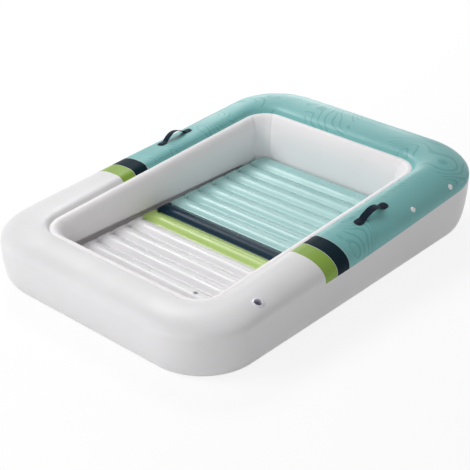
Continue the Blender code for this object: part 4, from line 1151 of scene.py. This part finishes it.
class LOUNGER_OT_main_valve(bpy.types.Operator):
    """Large air valve: a flange draped on the skin, the cup with its seat and port, and the plug."""
    bl_idname = "lounger.main_valve"
    bl_label = "Main valve"

    def execute(self, context):
        colours = context.scene.lounger_colours
        hub = skin_hub(*MAIN_VALVE)
        fit = skin_fit(ring_surface(context.scene.lounger_sizes)[1][0], hub, MAIN_FIT)
        profile = rounded(MAIN_BODY, radius=0.0006)
        body = turned(np.concatenate([profile, profile[:1]]), steps=96)
        # Share of painted shade: it rises with depth inside the cup's radius and is stored in the seam
        # attribute.
        cup = smooth_step(-body[..., 2], *CUP_SHADE) * (np.hypot(body[..., 0], body[..., 1]) < CUP_RADIUS)
        body_look = moulded_vinyl("main_valve_vinyl", colours.clear, roughness=0.20, cup=colours.cup)
        plug_look = moulded_vinyl("main_plug_vinyl", colours.plug, roughness=0.34)
        add_moulded("main_valve_body_smooth", draped(body, fit, *MAIN_DRAPE), hub, body_look, "clear_vinyl",
                    BODY, "main_valve_body", shade=cup)
        plug = turned(rounded(MAIN_PLUG, radius=0.0007), steps=64)
        plug[..., 2] += fit[0]
        add_moulded("main_valve_plug_smooth", plug, hub, plug_look, "grey_plug", "main_valve_plug",
                    "main_valve_plug")
        finish_node(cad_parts["main_valve_flap"], body_look)
        return {"FINISHED"}


class LOUNGER_OT_plug_valves(bpy.types.Operator):
    """Plug valves: a flanged body, a domed plug and its pull tab, on the ring and on the mattress."""
    bl_idname = "lounger.plug_valves"
    bl_label = "Plug valves"

    def execute(self, context):
        colours = context.scene.lounger_colours
        skin = ring_surface(context.scene.lounger_sizes)[1][0]
        pale = moulded_vinyl("small_valve_vinyl", colours.clear, roughness=0.24)
        # The white plugs reuse the inner wall's white, which is painted lighter for bounced light.
        white = moulded_vinyl("white_plug_vinyl", colours.lit_inner_white, roughness=0.30)
        grey = moulded_vinyl("grey_plug_vinyl", colours.plug, roughness=0.30)
        spot = (np.array([*MATTRESS_VALVE, MATTRESS_TOP]), np.eye(3))
        crown = np.array([0.0, 0.0, 0.0, 0.0, 0.0, -RIB_DEPTH / (RIB_PITCH / 2) ** 2])
        side, head = skin_hub(*SIDE_VALVE), skin_hub(*HEAD_VALVE)
        for name, hub, fit, body_look, plug_look, slot in (
                ("side_valve", side, skin_fit(skin, side, SMALL_FIT), white, white, "white_plug"),
                ("head_valve", head, skin_fit(skin, head, SMALL_FIT), white, white, "white_plug"),
                ("mattress_valve", spot, crown, pale, grey, "grey_plug")):
            profile = rounded(SMALL_BODY, radius=0.0005)
            body = turned(np.concatenate([profile, profile[:1]]), steps=64)
            add_moulded(f"{name}_body_smooth", draped(body, fit, *SMALL_DRAPE), hub, body_look, "clear_vinyl",
                        BODY, f"{name}_body")
            plug = turned(rounded(SMALL_PLUG, radius=0.0005), steps=56)
            plug[..., 2] += fit[0]
            add_moulded(f"{name}_plug_smooth", plug, hub, plug_look, slot, f"{name}_plug", f"{name}_plug")
            tab = soft_plate(TAB_LENGTH, TAB_WIDTH, TAB_CORNER, TAB_TOP, TAB_BOTTOM, TAB_EDGE)
            tab[..., 2] += TAB_CURL * tab[..., 0] ** 2 * (tab[..., 0] > 0) + fit[0]
            tab[..., 0] += TAB_PLACE
            add_moulded(f"{name}_tab", tab, hub, plug_look, slot, f"{name}_plug", sharp_deg=60)
        return {"FINISHED"}


class LOUNGER_OT_handles(bpy.types.Operator):
    """Strap handles: two arched webbing straps on navy welded patches."""
    bl_idname = "lounger.handles"
    bl_label = "Strap handles"

    def execute(self, context):
        colours = context.scene.lounger_colours
        skin = ring_surface(context.scene.lounger_sizes)[1][0]
        webbing, patch_look = woven_webbing(colours), patch_vinyl(colours)
        for side_name, side in (("left", 1), ("right", -1)):
            hub = skin_hub(*HANDLE, side)
            fit = skin_fit(skin, hub, HANDLE_FIT)
            for end, towards in (("foot", -1), ("head", 1)):
                name = f"{side_name}_handle_{end}_patch"
                patch = soft_plate(PATCH_LENGTH, PATCH_WIDTH, PATCH_CORNER, PATCH_HEIGHT, PATCH_BOTTOM,
                                   PATCH_EDGE)
                patch[..., 0] += towards * (HANDLE_LENGTH - PATCH_LENGTH) / 2
                patch[..., 2] += quadratic(patch[..., 0], patch[..., 1]) @ fit
                add_moulded(f"{name}_smooth", patch, hub, patch_look, "navy_webbing", BODY, name,
                            sharp_deg=60)
            name = f"{side_name}_handle_strap"
            add_moulded(f"{name}_smooth", strap_points(fit), hub, webbing, "navy_webbing", BODY, name,
                        sharp_deg=70)
        return {"FINISHED"}


# Stage

def facing(place, aim):
    """A matrix at a place whose -Z looks at a point, with +Y up."""
    place, aim = Vector(place), Vector(aim)
    return Matrix.Translation(place) @ (aim - place).to_track_quat("-Z", "Y").to_matrix().to_4x4()


def area_light(name, place, size, power, in_gloss):
    """A square area light at a place, turned towards the object. Gloss shows it only if in_gloss."""
    lamp = bpy.data.lights.new(name, "AREA")
    lamp.shape = "SQUARE"
    lamp.size = size
    lamp.energy = power
    made = bpy.data.objects.new(name, lamp)
    bpy.context.scene.collection.objects.link(made)
    made.matrix_world = facing(place, LIGHT_AIM)
    made.visible_glossy = in_gloss


def seen_share(tree, reflected):
    """1 for rays from the camera or through clear stuff, a share for reflected ones, else 0."""
    path = shader_node(tree, "ShaderNodeLightPath")
    both = maths(tree, "MAXIMUM", path.outputs["Is Camera Ray"], path.outputs["Is Transmission Ray"])
    return maths(tree, "MAXIMUM", both, times(tree, path.outputs["Is Glossy Ray"], reflected))


def surroundings(ambient):
    """A world that is seen as white, less so in reflections, and lights the object with a soft grey."""
    world = bpy.data.worlds.new("surroundings")
    world.use_nodes = True
    tree = world.node_tree
    shade = mixed(tree, seen_share(tree, 0.8), (ambient,) * 3 + (1.0,), PURE_WHITE)
    tree.links.new(shade, tree.nodes["Background"].inputs["Color"])
    return world


def floor_look():
    """Pale matt floor, seen mostly as white so that only the soft shadow shows."""
    look, tree, shader, where = start_material("floor_matt")
    tone = mixed(tree, noise(tree, where, 1.2), (0.86, 0.86, 0.86, 1.0), (0.88, 0.88, 0.88, 1.0))
    fill(tree, shader, {"Roughness": 0.7, "Base Color": tone})
    glow = shader_node(tree, "ShaderNodeEmission", {"Color": PURE_WHITE, "Strength": 1.04})
    factor = times(tree, seen_share(tree, 1.0), 0.80)
    blend = shader_node(tree, "ShaderNodeMixShader", {0: factor, 1: shader.outputs[0], 2: glow.outputs[0]})
    tree.links.new(blend.outputs[0], tree.nodes["Material Output"].inputs["Surface"])
    return look


def add_camera(scene, lens):
    """The camera at the photo's angle."""
    camera = bpy.data.cameras.new("camera")
    camera.lens = lens
    camera.sensor_width = SENSOR_WIDTH
    camera.clip_end = FAR
    scene.camera = bpy.data.objects.new("camera", camera)
    scene.collection.objects.link(scene.camera)
    scene.camera.matrix_world = facing(CAMERA_PLACE, CAMERA_AIM)


def add_floor(scene):
    """A flat square floor just below the object."""
    across, along = np.meshgrid([-FLOOR_HALF, FLOOR_HALF], [FLOOR_HALF, -FLOOR_HALF])
    flat = np.stack([across, along, np.full((2, 2), FLOOR_HEIGHT)], axis=-1)
    floor = bpy.data.objects.new("floor", grid_mesh("floor", flat))
    scene.collection.objects.link(floor)
    floor.data.materials.append(floor_look())


class LOUNGER_OT_stage(bpy.types.Operator):
    """Stage: camera, soft lights, white surroundings and a pale floor that keeps the shadow."""
    bl_idname = "lounger.stage"
    bl_label = "Stage"

    def execute(self, context):
        scene, stage = context.scene, context.scene.lounger_stage
        add_camera(scene, stage.lens)
        area_light("glint_light", (-3.46, 1.6, 4.6), GLINT_SIZE, stage.glint_power, in_gloss=True)
        for name, place, power, in_gloss in (
                ("back_light", (-3.4, 4.4, 1.7), stage.fill_power, True),
                ("key_light", (-3.0, -4.6, 4.6), stage.key_power, False),
                ("front_light", (0.8, -5.8, 1.8), stage.fill_power * 0.9, False),
                ("right_light", (2.6, 5.0, 2.6), stage.fill_power * 0.9, False),
                ("near_light", (5.6, -3.2, 0.9), stage.fill_power * 0.65, False)):
            area_light(name, place, LIGHT_SIZE, power, in_gloss)
        scene.world = surroundings(stage.ambient)
        add_floor(scene)
        scene.view_settings.view_transform = "Standard"
        return {"FINISHED"}


# Panel and registration

OPERATORS = (LOUNGER_OT_ring, LOUNGER_OT_mattress, LOUNGER_OT_inner_strips, LOUNGER_OT_main_valve,
             LOUNGER_OT_plug_valves, LOUNGER_OT_handles, LOUNGER_OT_stage)


class LOUNGER_PT_panel(bpy.types.Panel):
    """Lists the lounger's operators and its sizes, colours and stage values."""
    bl_idname = "LOUNGER_PT_panel"
    bl_label = "Pool lounger"
    bl_space_type = "VIEW_3D"
    bl_region_type = "UI"
    bl_category = "Lounger"

    def draw(self, context):
        for operator in OPERATORS:
            self.layout.operator(operator.bl_idname)
        scene = context.scene
        for group in (scene.lounger_sizes, scene.lounger_colours, scene.lounger_stage):
            box = self.layout.box()
            for name in group.__annotations__:
                box.prop(group, name)


CLASSES = (LoungerSizes, LoungerColours, LoungerStage, *OPERATORS, LOUNGER_PT_panel)


def register():
    """Register the classes and hang the settings on the scene."""
    for each in CLASSES:
        bpy.utils.register_class(each)
    bpy.types.Scene.lounger_sizes = PointerProperty(type=LoungerSizes)
    bpy.types.Scene.lounger_colours = PointerProperty(type=LoungerColours)
    bpy.types.Scene.lounger_stage = PointerProperty(type=LoungerStage)


def unregister():
    """Take the settings and the classes away."""
    del bpy.types.Scene.lounger_stage, bpy.types.Scene.lounger_colours, bpy.types.Scene.lounger_sizes
    for each in reversed(CLASSES):
        bpy.utils.unregister_class(each)


def main():
    """Build every piece and the stage."""
    register()
    bpy.ops.lounger.ring()
    bpy.ops.lounger.mattress()
    bpy.ops.lounger.inner_strips()
    bpy.ops.lounger.main_valve()
    bpy.ops.lounger.plug_valves()
    bpy.ops.lounger.handles()
    bpy.ops.lounger.stage()


if __name__ == "__main__":
    main()
